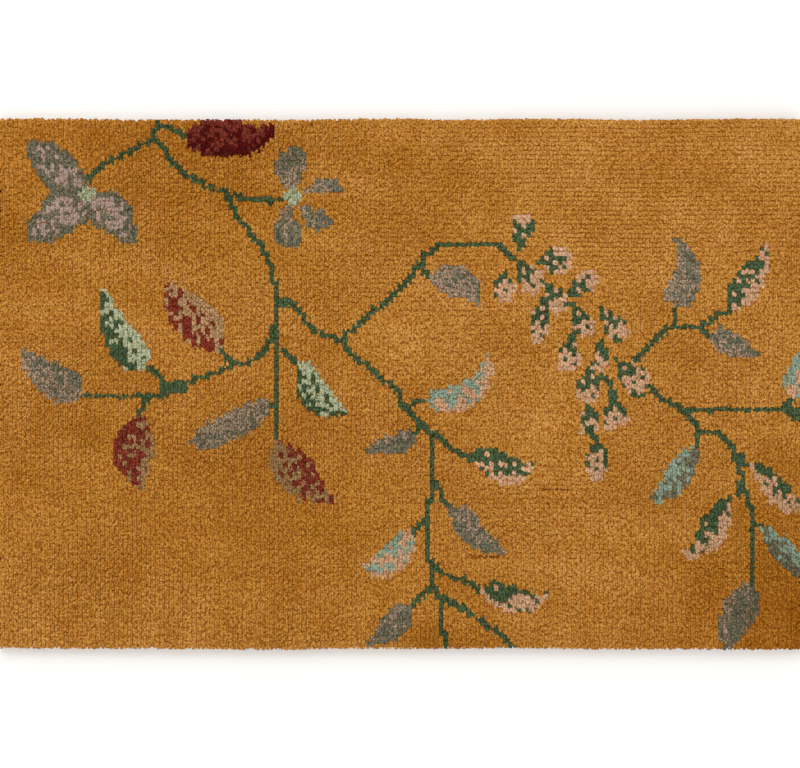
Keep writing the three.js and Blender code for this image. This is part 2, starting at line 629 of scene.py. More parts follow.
@dataclass(frozen=True)
class TrailingDesign:
    """The whole trailing plant: stems, leaves, flowers and bells, in the order in which they are drawn."""

    def stems(self) -> Iterator[Stem]:
        """Gives the green stems."""
        for route in STEM_ROUTES:
            yield Stem(route)
        for thickness, routes in THICK_STEM_ROUTES.items():
            for route in routes:
                yield Stem(route, thickness)

    def leaves(self) -> Iterator[Leaf]:
        """Gives the leaves, and the part of a crimson blossom that reaches in at the far edge."""
        for blend, table in ((Blend.DOTTED, DOTTED_LEAVES), (Blend.HEATHERED, HEATHERED_LEAVES)):
            for (left, right), rows in table.items():
                for base, tip, left_edge, right_edge, *lie in rows:
                    edges = LeafEdge(*left_edge), LeafEdge(*right_edge)
                    yield Leaf(base, tip, left, right, blend, *edges, *lie)

    def flowers(self) -> tuple[Motif, ...]:
        """Gives the spotted blossom and the four-petal flower, with their hearts."""
        spotted = (19.1, 16.3)
        four = (64, 17.1)

        # The petals' outlines, with points that were read off the photograph
        far_petal = (
            (5.8, 4.9), (8.1, 4.6), (10.9, 5), (12.6, 6.3), (15.1, 7.7), (17, 10.1), (18.8, 12.5),
            (18.9, 15.4), (15, 16.6), (12.2, 16.4), (9.4, 13.8), (7.9, 12.3), (7.2, 10.1), (6, 7.8),
        )
        left_petal = (
            (11.3, 16.3), (9.4, 18), (8.1, 20.2), (6.4, 22.5), (6.3, 27), (10, 27.2), (12.8, 26.2),
            (15.8, 24.7), (17.7, 22.9), (19.8, 22.1), (20.6, 17.2), (16.6, 16.4),
        )
        right_petal = (
            (20.3, 16.2), (23.4, 16.2), (26.4, 16.6), (27.9, 18), (28.9, 19.5), (28.9, 21), (29.5, 22.5),
            (30.1, 24.7), (29.7, 26.7), (26, 26.8), (24.5, 24.8), (22.2, 24.4), (20.3, 23.2), (19.1, 21.9),
            (19.1, 17.2),
        )
        upper = (
            (62.7, 15.4), (60.8, 12.8), (59.9, 11.4), (60.3, 8.9), (61.9, 7), (64, 5.6), (65.6, 6.5),
            (67.3, 8.2), (66.8, 10.4), (65.8, 12.7), (65, 15.4),
        )
        right = (
            (65.6, 15.4), (67.4, 14.6), (69, 13.7), (70.8, 12.7), (72.3, 12.4), (73.7, 13.3), (75, 15.4),
            (74.6, 16.1), (70.8, 16), (68.6, 16.3), (66, 16.2),
        )
        lower_right = (
            (64.9, 18.5), (66.8, 18.6), (69, 20.2), (70.9, 20.5), (72.9, 22.5), (71.6, 24.2), (69, 24.9),
            (67.2, 23.4), (66.2, 21), (64.9, 19.6),
        )
        lower = (
            (62.8, 18.6), (61.5, 19.6), (60.4, 22), (59.9, 24.4), (60.2, 26.3), (61.3, 27.7), (63, 28.3),
            (64.8, 27.6), (66, 26.2), (65.8, 23.8), (64.7, 22.5), (63.8, 20.6), (63.8, 18.6),
        )
        spots = [
            Petal(far_petal, spotted, Yarn.BLUSH, Yarn.SLATE),
            Petal(left_petal, spotted, Yarn.BLUSH, Yarn.SLATE),
            Petal(right_petal, spotted, Yarn.BLUSH, Yarn.SLATE, light_reach=6.2),
        ]
        plain = [
            Petal(outline, four, Yarn.MAUVE, Yarn.SLATE, blend=Blend.HEATHERED)
            for outline in (upper, right, lower_right, lower)
        ]
        return (*spots, Heart(spotted, 1.75), *plain, Heart(four, 1.95))

    def bells(self) -> tuple[Motif, ...]:
        """Gives the hanging bell flowers, with the short stems that join them."""
        return (
            Bell((113.3, 29), (114.7, 20.7), half_width=2.6, hem_share=0.74, widest=0.66),
            Bell(
                (117.1, 31.1), (125.4, 31.2), half_width=3.0, hem_share=0.7, widest=0.55, cap=-0.25, shift=1
            ),
            Bell((112.8, 30.6), (118, 37.6), half_width=3.0, hem_share=0.66, widest=0.72, cap=-0.2),
            Bell((110.4, 32.8), (110.1, 40), half_width=2.4, hem_share=0.42, widest=0.62, bare_crown=1.4),
            Bell((119.9, 36.1), (122.6, 42.3), half_width=2.5, hem_share=0.6, widest=0.55, cap=-0.2, shift=1),
            Bell((118.9, 39.3), (117.2, 48.9), half_width=2.4, hem_share=0.54, widest=0.5),
            Bell((123.8, 39), (130.2, 34), half_width=2.4, hem_share=0.68, cap=-0.15),
            Bell((125.1, 40.4), (128.6, 47.1), half_width=2.2, hem_share=0.56, shift=2),
            Bell((130.8, 40.6), (136.2, 48), half_width=2.6, hem_share=0.6, widest=0.78),
            Bell((125.2, 46.3), (123.8, 55), half_width=2.5, hem_share=0.52, widest=0.75, shift=1),
            Bell((131.3, 48.4), (131.2, 55), half_width=1.7, hem_share=0.58, widest=0.45),
            Bell((129.2, 53), (128.3, 62), half_width=2.5, hem_share=0.66, shift=3),
            Bell((134.2, 52.2), (141, 59), half_width=3.2, hem_share=0.5, widest=0.72),
            Bell((128.8, 62.2), (128.8, 69.3), half_width=2.1, hem_share=0.56, widest=0.5, shift=1),
            Bell((133.7, 60.6), (134.9, 67.6), half_width=3.0, hem_share=0.5, widest=0.75),
            Bell((130.7, 70), (130.4, 78.7), half_width=2.5, hem_share=0.26, widest=0.5, cap=0.18, shift=2),
            Stem(((131.5, 55.5), (132.5, 56.5), (133.3, 58.5), (133.5, 61))),
            Stem(((133, 57.5), (134, 59.5), (134.3, 61.5))),
            Stem(((128.5, 67.5), (130, 69.5), (130.5, 70.5))),
            Stem(((132.4, 72.5), (132.5, 74.8))),
            Stem(((138.3, 60), (140.3, 60))),
            Stem(((134.2, 48.3), (135.7, 48.3))),
            Stem(((123.8, 40.6), (125, 40.6))),
        )

    def draw(self, chart: Chart) -> None:
        """Draws the whole design on the chart."""
        for motif in (*self.stems(), *self.leaves(), *self.flowers(), *self.bells()):
            motif.draw(chart)


# The solid and the places on it


@dataclass
class RugSolid:
    """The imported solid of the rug, read for its cut edges and for the height of its pile."""

    node: str = RUG_NODE
    edge_share: float = 0.71
    foundation_share: float = 0.282
    samples: int = 240
    clear_of_edge: float = 3 * MM
    ray_cell: float = 6 * MM
    far_off: float = 1.0

    # Keeps the last reading inside the last cell of the lattice of rays
    JUST_OVER_ONE = 1.001

    @cached_property
    def tree(self) -> BVHTree:
        """The solid's faces, ready for rays."""
        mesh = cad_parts[self.node].data
        corners = [vertex.co.copy() for vertex in mesh.vertices]
        return BVHTree.FromPolygons(corners, [tuple(face.vertices) for face in mesh.polygons])

    @cached_property
    def box(self) -> tuple[Vector, Vector]:
        """The lowest and highest corner of the solid."""
        low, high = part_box(self.node)
        return Vector(low), Vector(high)

    @property
    def foundation_top(self) -> float:
        """The height at which the pile leaves the foundation."""
        return self.foundation_share * self.box[1].z

    def _edge(self, along: np.ndarray, axis: int, sign: int, height: float) -> np.ndarray:
        """Finds where a cut edge lies.

        Args:
            along: Places along the edge.
            axis: 0 for the edges across X, 1 for those across Y.
            sign: 1 for the edge on the axis's far side, -1 for the near one.
            height: The height at which the edge is read.

        Returns:
            The edge's distance from the middle at each place.
        """
        limit = self.box[1][1 - axis] - self.clear_of_edge
        spots = np.linspace(-limit, limit, self.samples)
        reach = []
        for spot in spots:
            start = Vector((0, 0, height))
            start[axis] = sign * self.far_off
            start[1 - axis] = spot
            heading = Vector((0, 0, 0))
            heading[axis] = -sign
            hit = self.tree.ray_cast(start, heading)[0]
            reach.append(abs(hit[axis]))
        return np.interp(along, spots, reach)

    def place(self, across: np.ndarray, along: np.ndarray, grid: KnotGrid, low: bool = False) -> np.ndarray:
        """Carries places on the knot grid to the lying rug with its uneven cut edges.

        Args:
            across: Distance from the grid's left edge, in columns.
            along: Distance from the grid's far edge, in rows.
            grid: The grid of knots.
            low: True to follow the foundation's edges and not the pile's.

        Returns:
            X and Y of each place.
        """
        height = self.box[1].z * (0.5 * self.foundation_share if low else self.edge_share)
        share_x = 2 * across / grid.columns - 1
        share_y = 1 - 2 * along / grid.rows
        rough_x = share_x * grid.width / 2
        rough_y = share_y * grid.length / 2
        right = self._edge(rough_y, 0, 1, height)
        left = self._edge(rough_y, 0, -1, height)
        back = self._edge(rough_x, 1, 1, height)
        front = self._edge(rough_x, 1, -1, height)
        x = share_x * np.where(share_x > 0, right, left)
        y = share_y * np.where(share_y > 0, back, front)
        return np.stack([x, y], axis=-1)

    def pile_height(self, x: np.ndarray, y: np.ndarray) -> np.ndarray:
        """Reads the height of the pile's mean surface.

        Args:
            x: Places along X.
            y: Places along Y.

        Returns:
            The height at each place.
        """
        low, high = self.box
        margin = self.clear_of_edge
        xs = np.linspace(low.x + margin, high.x - margin, int((high.x - low.x) / self.ray_cell))
        ys = np.linspace(low.y + margin, high.y - margin, int((high.y - low.y) / self.ray_cell))
        down = Vector((0, 0, -1))
        start = self.far_off
        heights = np.array([[self.tree.ray_cast(Vector((a, b, start)), down)[0].z for a in xs] for b in ys])
        column = np.clip((x - xs[0]) / (xs[1] - xs[0]), 0, len(xs) - self.JUST_OVER_ONE)
        row = np.clip((y - ys[0]) / (ys[1] - ys[0]), 0, len(ys) - self.JUST_OVER_ONE)
        i = column.astype(int)
        j = row.astype(int)
        u = column - i
        v = row - j
        near = heights[j, i] * (1 - u) + heights[j, i + 1] * u
        far = heights[j + 1, i] * (1 - u) + heights[j + 1, i + 1] * u
        return near * (1 - v) + far * v


# Meshes and shader nodes


def mesh_piece(name: str, points: np.ndarray, triangles: np.ndarray, smooth: bool) -> bpy.types.Object:
    """Makes a mesh object of triangles and puts it in the scene.

    Args:
        name: The piece's name.
        points: Its corners, one row of three each.
        triangles: Its faces, one row of three corner numbers each.
        smooth: True to shade it smooth.

    Returns:
        The new object.
    """
    mesh = bpy.data.meshes.new(name)
    mesh.vertices.add(len(points))
    mesh.vertices.foreach_set("co", np.ascontiguousarray(points, np.float32).ravel())
    mesh.loops.add(triangles.size)
    mesh.loops.foreach_set("vertex_index", np.ascontiguousarray(triangles, np.int32).ravel())
    mesh.polygons.add(len(triangles))
    mesh.polygons.foreach_set("loop_start", np.arange(0, triangles.size, 3, dtype=np.int32))
    mesh.polygons.foreach_set("use_smooth", np.full(len(triangles), smooth))
    mesh.update(calc_edges=True)
    piece = bpy.data.objects.new(name, mesh)
    bpy.context.scene.collection.objects.link(piece)
    return piece


def write_numbers(piece: bpy.types.Object, name: str, numbers: np.ndarray) -> None:
    """Stores one number for each corner point of a piece, for its material to read."""
    layer = piece.data.attributes.new(name, "FLOAT", "POINT")
    layer.data.foreach_set("value", np.ascontiguousarray(numbers, np.float32).ravel())


def write_wool_colours(piece: bpy.types.Object, colours: np.ndarray) -> None:
    """Stores the colour of the wool for each face corner of a piece, one row of four each."""
    layer = piece.data.color_attributes.new("wool_colour", "FLOAT_COLOR", "CORNER")
    layer.data.foreach_set("color", colours.ravel())


def write_map(piece: bpy.types.Object, places: np.ndarray) -> None:
    """Stores the flat map through which a finish can be baked, one row of two for each face corner."""
    layer = piece.data.uv_layers.new(name="OFBake")
    layer.data.foreach_set("uv", np.ascontiguousarray(places, np.float32).ravel())


class NodeBench:
    """Places shader nodes in one tree and joins them."""

    # The numbers of a mix node's sockets for colours
    SHARE, FIRST, SECOND, MIXED = 0, 6, 7, 2

    def __init__(self, tree: bpy.types.NodeTree) -> None:
        """Starts with an empty tree."""
        self.tree = tree
        self.tree.nodes.clear()

    def add(
        self, kind: str, inputs: dict[str | int, object] | None = None, **settings: object
    ) -> bpy.types.Node:
        """Adds one node.

        Args:
            kind: The name of the node's type.
            inputs: For each input, the socket that feeds it or its plain value.
            settings: The node's own settings.

        Returns:
            The new node.
        """
        node = self.tree.nodes.new(kind)
        for name, value in settings.items():
            setattr(node, name, value)
        for name, value in (inputs or {}).items():
            if isinstance(value, bpy.types.NodeSocket):
                self.tree.links.new(value, node.inputs[name])
            else:
                node.inputs[name].default_value = value
        return node

    def group(self, tree: bpy.types.NodeTree, inputs: dict[str | int, object]) -> bpy.types.Node:
        """Places a node group with its inputs and returns its node."""
        return self.add("ShaderNodeGroup", inputs, node_tree=tree)

    def number(
        self, operation: str, first: object, second: object = 0.0, third: object = 0.0
    ) -> bpy.types.NodeSocket:
        """Adds a sum on numbers and returns its result."""
        return self.add("ShaderNodeMath", {0: first, 1: second, 2: third}, operation=operation).outputs[0]

    def mix(self, share: object, first: object, second: object, way: str = "MIX") -> bpy.types.NodeSocket:
        """Adds a mix of two colours and returns it."""
        inputs = {self.SHARE: share, self.FIRST: first, self.SECOND: second}
        return self.add("ShaderNodeMix", inputs, data_type="RGBA", blend_type=way).outputs[self.MIXED]

    def tint(self, colour: object, tint: object) -> bpy.types.NodeSocket:
        """Multiplies a colour by another and returns the result."""
        return self.mix(1.0, colour, tint, "MULTIPLY")

    def joined(self, red: object, green: object, blue: object) -> bpy.types.NodeSocket:
        """Joins three numbers into a colour and returns it."""
        return self.add("ShaderNodeCombineColor", {0: red, 1: green, 2: blue}).outputs[0]

    def ramp(
        self, value: object, span: tuple[float, float], start: float = 0.0, end: float = 1.0
    ) -> bpy.types.NodeSocket:
        """Adds a soft ramp that goes from start to end over a span of the value, and returns it."""
        inputs = {"Value": value, "From Min": span[0], "From Max": span[1], "To Min": start, "To Max": end}
        return self.add("ShaderNodeMapRange", inputs, interpolation_type="SMOOTHSTEP").outputs[0]

    def reading(self, name: str, output: str = "Fac") -> bpy.types.NodeSocket:
        """Adds what a piece stores under a name and returns it."""
        return self.add("ShaderNodeAttribute", attribute_name=name).outputs[output]

    def noise(self, scale: float, stretch: tuple[float, float, float], detail: float) -> bpy.types.NodeSocket:
        """Adds a noise in the rug's own metres and returns its value."""
        place = self.add("ShaderNodeTexCoord").outputs["Object"]
        stretched = self.add("ShaderNodeMapping", {"Vector": place, "Scale": stretch}).outputs[0]
        texture = self.add("ShaderNodeTexNoise", {"Vector": stretched, "Scale": scale, "Detail": detail})
        return texture.outputs["Fac"]

    def bump(self, height: object, strength: float) -> bpy.types.NodeSocket:
        """Adds the relief of the fibres and returns its normal."""
        inputs = {"Height": height, "Strength": strength, "Distance": FIBRE_RELIEF}
        return self.add("ShaderNodeBump", inputs).outputs["Normal"]

    def surface(self, inputs: dict[str | int, object]) -> None:
        """Adds the shader with its inputs and leads it to the material's surface."""
        shader = self.add("ShaderNodeBsdfPrincipled", inputs)
        self.add("ShaderNodeOutputMaterial", {"Surface": shader.outputs[0]})


def new_finish(name: str) -> tuple[bpy.types.Material, NodeBench]:
    """Makes a material without nodes and returns it with a bench for its nodes."""
    material = bpy.data.materials.new(name)
    material.use_nodes = True
    return material, NodeBench(material.node_tree)


def open_group(
    name: str, inputs: dict[str, tuple[str, object]], outputs: dict[str, str]
) -> tuple[bpy.types.NodeTree, NodeBench, bpy.types.bpy_prop_collection]:
    """Makes a shader node group with its sockets.

    Args:
        name: The group's name.
        inputs: For each input its socket type and its usual value.
        outputs: For each output its socket type.

    Returns:
        The group, a bench for its nodes, and the sockets that bring its inputs.
    """
    tree = bpy.data.node_groups.new(name, "ShaderNodeTree")
    for label, (kind, usual) in inputs.items():
        tree.interface.new_socket(label, in_out="INPUT", socket_type=kind).default_value = usual
    for label, kind in outputs.items():
        tree.interface.new_socket(label, in_out="OUTPUT", socket_type=kind)
    bench = NodeBench(tree)
    return tree, bench, bench.add("NodeGroupInput").outputs


class FinishGroups:
    """The effects that several finishes of the rug share, each one shader node group, built once."""

    COLOUR = "NodeSocketColor"
    NUMBER = "NodeSocketFloat"
    MID_GREY = (0.5, 0.5, 0.5, 1.0)

    # Fibres run along the tuft, and strands blur into each other by a share of the fibres' noise
    FIBRE_SCALE = 800
    FIBRE_STRETCH = (1, 1, 0.15)
    FIBRE_DETAIL = 1
    FIBRE_SPAN = (0.3, 0.7)
    STRAND_BLUR = 0.9

    # Reach goes from 0 at the root of a tuft to 1 at its tip
    # Over this span the colour turns from the root colour, partly painted shade deep between the tufts, to
    # the tip's own colour
    ROOT_DARKENING_SPAN = (0.2, 0.9)
    ROUGHENING_SPAN = (0.2, 1.0)
    ROOT_ROUGHNESS = 0.98
    TIP_ROUGHNESS = 0.86

    # Batches of dye lie in broad bands across the rug
    BATCH_SCALE = 7
    BATCH_STRETCH = (1, 2.2, 0)
    BATCH_DETAIL = 2
    BATCH_SPAN = (0.35, 0.65)

    @cached_property
    def spun_yarn(self) -> bpy.types.NodeTree:
        """Two dyed strands twisted together, with their fibres: a colour and the fibres' height."""
        inputs = {
            "Strand A": (self.COLOUR, self.MID_GREY),
            "Strand B": (self.COLOUR, self.MID_GREY),
            "Strand": (self.NUMBER, 0.5),
            "Tone": (self.NUMBER, 1.0),
            "Fibre Contrast": (self.NUMBER, 0.3),
            "Green Fall": (self.NUMBER, 1.0),
            "Blue Fall": (self.NUMBER, 1.0),
        }
        outputs = {"Colour": self.COLOUR, "Fibre Height": self.NUMBER}
        group, bench, given = open_group("Spun yarn", inputs, outputs)
        noise = bench.noise(self.FIBRE_SCALE, self.FIBRE_STRETCH, self.FIBRE_DETAIL)
        fibres = bench.ramp(noise, self.FIBRE_SPAN)
        spread = bench.number("MULTIPLY_ADD", fibres, -self.STRAND_BLUR, self.STRAND_BLUR / 2)
        strand = bench.number("ADD", given["Strand"], spread)
        dyed = bench.mix(bench.ramp(strand, (0.0, 1.0)), given["Strand A"], given["Strand B"])
        grain = bench.number("MULTIPLY_ADD", fibres, 2.0, -1.0)
        shade = bench.number("MULTIPLY_ADD", grain, given["Fibre Contrast"], given["Tone"])
        green_shade = bench.number("POWER", shade, given["Green Fall"])
        blue_shade = bench.number("POWER", shade, given["Blue Fall"])
        colour = bench.tint(dyed, bench.joined(shade, green_shade, blue_shade))
        bench.add("NodeGroupOutput", {"Colour": colour, "Fibre Height": fibres})
        return group

    @cached_property
    def root_fade_and_shade(self) -> bpy.types.NodeTree:
        """The darker, duller colour of the wool towards its root, partly its less faded dye and partly
        painted shade deep between the tufts: a colour and a roughness.
        """
        inputs = {
            "Colour": (self.COLOUR, self.MID_GREY),
            "Root Colour With Painted Shade": (self.COLOUR, self.MID_GREY),
            "Reach": (self.NUMBER, 1.0),
        }
        outputs = {"Colour": self.COLOUR, "Roughness": self.NUMBER}
        group, bench, given = open_group("Root fade and painted shade", inputs, outputs)
        # Towards the root the colour is tinted darker: partly the less faded dye of the root, partly painted
        # shade between the tufts
        deep = bench.tint(given["Colour"], given["Root Colour With Painted Shade"])
        colour = bench.mix(bench.ramp(given["Reach"], self.ROOT_DARKENING_SPAN), deep, given["Colour"])
        roughness = bench.ramp(
            given["Reach"], self.ROUGHENING_SPAN, self.ROOT_ROUGHNESS, self.TIP_ROUGHNESS
        )
        bench.add("NodeGroupOutput", {"Colour": colour, "Roughness": roughness})
        return group

    @cached_property
    def dye_drift(self) -> bpy.types.NodeTree:
        """The slow drift of a dye from batch to batch across the rug."""
        inputs = {
            "Colour": (self.COLOUR, self.MID_GREY),
            "Drifted Colour": (self.COLOUR, self.MID_GREY),
            "Amount": (self.NUMBER, 0.5),
        }
        group, bench, given = open_group("Dye drift", inputs, {"Colour": self.COLOUR})
        noise = bench.noise(self.BATCH_SCALE, self.BATCH_STRETCH, self.BATCH_DETAIL)
        share = bench.number("MULTIPLY", bench.ramp(noise, self.BATCH_SPAN), given["Amount"])
        drifted = bench.tint(given["Colour"], given["Drifted Colour"])
        bench.add("NodeGroupOutput", {"Colour": bench.mix(share, given["Colour"], drifted)})
        return group


# Faces of a lattice of points


def rim_of(ids: np.ndarray) -> np.ndarray:
    """Walks the rim of a lattice of points, clockwise from above, and returns their numbers."""
    return np.concatenate([ids[0, :-1], ids[:-1, -1], ids[-1, :0:-1], ids[:0:-1, 0]])


def top_faces(ids: np.ndarray) -> np.ndarray:
    """Makes two faces that look up for each cell of a lattice of points and returns them."""
    far_left, far_right = ids[:-1, :-1], ids[:-1, 1:]
    near_left, near_right = ids[1:, :-1], ids[1:, 1:]
    first = np.stack([far_left, near_left, near_right], -1)
    second = np.stack([far_left, near_right, far_right], -1)
    return np.stack([first, second], -2).reshape(-1, 3)


def wall_faces(low: np.ndarray, high: np.ndarray) -> np.ndarray:
    """Joins two rims with faces that look outwards.

    Args:
        low: The lower rim's point numbers, clockwise from above.
        high: The upper rim's, in the same order.

    Returns:
        The faces.
    """
    low_next, high_next = np.roll(low, -1), np.roll(high, -1)
    first = np.stack([low, high, high_next], -1)
    second = np.stack([low, high_next, low_next], -1)
    return np.stack([first, second], -2).reshape(-1, 3)


# The finishes


@dataclass(frozen=True)
class WoolFinish:
    """A dyed wool yarn, spun from two strands.

    As the wool darkens, its green and blue fall faster than its red by the two powers named fall.
    """

    name: str
    slot: str
    strand_a: Colour
    strand_b: Colour
    # root is the colour towards a tuft's root: partly less faded dye, partly painted shade deep between the
    # tufts
    root: Colour = (0.92, 0.62, 0.3)
    drift: Colour = (0.94, 0.88, 0.84)
    drift_amount: float = 0.5
    fibre_contrast: float = 0.08
    green_fall: float = 1.0
    blue_fall: float = 1.2
    gloss: float = 0.1
    sheen: float = 0.25
    sheen_roughness: float = 0.5
    bump: float = 0.3

    @property
    def mean(self) -> Colour:
        """The colour that the two strands make together."""
        return tuple((a + b) / 2 for a, b in zip(self.strand_a, self.strand_b))

    def material(self, groups: FinishGroups) -> bpy.types.Material:
        """Makes the yarn's material.

        Args:
            groups: The node groups that all the yarns share.

        Returns:
            The material.
        """
        material, bench = new_finish(self.name)
        spun = bench.group(groups.spun_yarn, {
            "Strand A": (*self.strand_a, 1),
            "Strand B": (*self.strand_b, 1),
            "Strand": bench.reading("strand"),
            "Tone": bench.reading("tone"),
            "Fibre Contrast": self.fibre_contrast,
            "Green Fall": self.green_fall,
            "Blue Fall": self.blue_fall,
        }).outputs
        drifted = bench.group(groups.dye_drift, {
            "Colour": spun["Colour"],
            "Drifted Colour": (*self.drift, 1),
            "Amount": self.drift_amount,
        }).outputs
        depth = bench.group(groups.root_fade_and_shade, {
            "Colour": drifted["Colour"],
            "Root Colour With Painted Shade": (*self.root, 1),
            "Reach": bench.reading("reach"),
        }).outputs
        bench.surface({
            "Base Color": depth["Colour"],
            "Roughness": depth["Roughness"],
            "Normal": bench.bump(spun["Fibre Height"], self.bump),
            "Specular IOR Level": self.gloss,
            "Sheen Weight": self.sheen,
            "Sheen Roughness": self.sheen_roughness,
            "Sheen Tint": (*self.mean, 1),
        })
        return material


WOOLS = {
    # Gold's deep red root colour is mostly painted shade between its tufts, with some less faded dye
    Yarn.GOLD: WoolFinish(
        "gold wool", "gold_wool", dye(190, 136, 63), dye(155, 98, 33), root=(0.95, 0.6, 0.12), green_fall=1.5,
        blue_fall=3.4, gloss=0.02,
    ),
    Yarn.VINE_GREEN: WoolFinish("vine green wool", "vine_green_wool", dye(77, 98, 66), dye(49, 62, 38)),
    Yarn.PALE_GREEN: WoolFinish("pale green wool", "pale_green_wool", dye(177, 181, 150), dye(136, 142, 109)),
    Yarn.SLATE: WoolFinish("slate wool", "slate_wool", dye(69, 75, 58), dye(133, 122, 101)),
    Yarn.MAUVE: WoolFinish("mauve wool", "mauve_wool", dye(168, 140, 116), dye(92, 87, 70)),
    Yarn.PINK: WoolFinish("pink wool", "pink_wool", dye(202, 162, 128), dye(164, 124, 91)),
    Yarn.TURQUOISE: WoolFinish("turquoise wool", "turquoise_wool", dye(143, 163, 145), dye(115, 127, 107)),
    Yarn.MAROON: WoolFinish("maroon wool", "maroon_wool", dye(140, 58, 40), dye(86, 27, 16)),
    Yarn.TAUPE: WoolFinish("taupe wool", "taupe_wool", dye(185, 148, 107), dye(135, 102, 64)),
    Yarn.CRIMSON: WoolFinish("crimson wool", "crimson_wool", dye(88, 12, 9), dye(67, 5, 4)),
    Yarn.ROSE: WoolFinish("rose wool", "crimson_wool", dye(128, 56, 41), dye(93, 25, 15)),
    Yarn.BROWN: WoolFinish("brown wool", "taupe_wool", dye(167, 128, 86), dye(120, 90, 53)),
    Yarn.BLUSH: WoolFinish("blush wool", "mauve_wool", dye(176, 150, 136), dye(146, 126, 114)),
}
YARN_MEANS = np.array([WOOLS[yarn].mean for yarn in Yarn])


@dataclass(frozen=True)
class CottonFinish:
    """The unbleached cotton of the foundation, with the wool of the knots where it wraps the warp."""

    name: str = "cotton foundation"
    slot: str = "cotton_foundation"
    light: Colour = dye(206, 188, 156)
    dark: Colour = dye(164, 142, 108)
    fibre_span: tuple[float, float] = (0.3, 0.7)
    wool_shade: tuple[float, float] = (0.75, 1.1)
    roughness: tuple[float, float] = (0.98, 0.88)
    gloss: float = 0.2
    bump: float = 0.4

    def material(self, groups: FinishGroups) -> bpy.types.Material:
        """Makes the foundation's material.

        Args:
            groups: The node groups that the finishes share.

        Returns:
            The material.
        """
        material, bench = new_finish(self.name)
        spun = bench.group(groups.spun_yarn, {
            "Strand A": (*self.light, 1),
            "Strand B": (*self.dark, 1),
            "Tone": bench.reading("tone"),
        }).outputs
        fibres = spun["Fibre Height"]
        grain = bench.ramp(fibres, self.fibre_span, *self.wool_shade)
        wool = bench.tint(bench.reading("wool_colour", "Color"), bench.joined(grain, grain, grain))
        bench.surface({
            "Base Color": bench.mix(bench.reading("wrapping"), spun["Colour"], wool),
            "Roughness": bench.ramp(fibres, self.fibre_span, *self.roughness),
            "Normal": bench.bump(fibres, self.bump),
            "Specular IOR Level": self.gloss,
        })
        return material


# The pile


@dataclass(frozen=True)
class Parting:
    """A short line where the pile falls open between two rows."""

    row: float
    first_column: float
    last_column: float
    opening: float
    half_height: float = 0.8

    def nearness(self, across: np.ndarray, along: np.ndarray) -> np.ndarray:
        """Measures how near places are to the line.

        Args:
            across: Their columns.
            along: Their rows.

        Returns:
            1 on the line and less to both sides of it.
        """
        inside = (across > self.first_column) & (across < self.last_column)
        return inside * np.exp(-(((along - self.row) / self.half_height) ** 2))


PARTINGS = (
    Parting(95.8, 103, 110.5, opening=0.5),
    Parting(81.0, 119, 126, opening=0.38),
    Parting(98.0, 45.5, 50, opening=0.22),
)


@dataclass(frozen=True)
class RowMound:
    """A broad place where the rows show in the pile, in shares of the rug's width and length."""

    strength: float
    right: float
    down: float
    half_right: float
    half_down: float

    def at(self, right: np.ndarray, down: np.ndarray) -> np.ndarray:
        """Gives the mound's strength at places to the right and down from the rug's far left corner."""
        across = ((right - self.right) / self.half_right) ** 2
        return self.strength * np.exp(-across - ((down - self.down) / self.half_down) ** 2)


@dataclass(frozen=True)
class RowTrend:
    """A size that changes evenly from where the columns show to where the rows do."""

    among_columns: float
    change: float

    def at(self, rows_show: np.ndarray) -> np.ndarray:
        """Gives the size where the rows show by the given share."""
        return self.among_columns + self.change * rows_show


@dataclass(frozen=True)
class ShadedPool:
    """A broad soft area, in knots, where the wool's colour is darker."""

    column: float
    row: float
    radius: float
    depth: float


@dataclass
class TuftPlan:
    """Where every tuft stands and how large it is, one entry for each tuft. Sizes are in knots."""

    yarn: np.ndarray
    column: np.ndarray
    row: np.ndarray
    rows_show: np.ndarray
    half_across: np.ndarray
    half_along: np.ndarray
    centre: np.ndarray
    top: np.ndarray


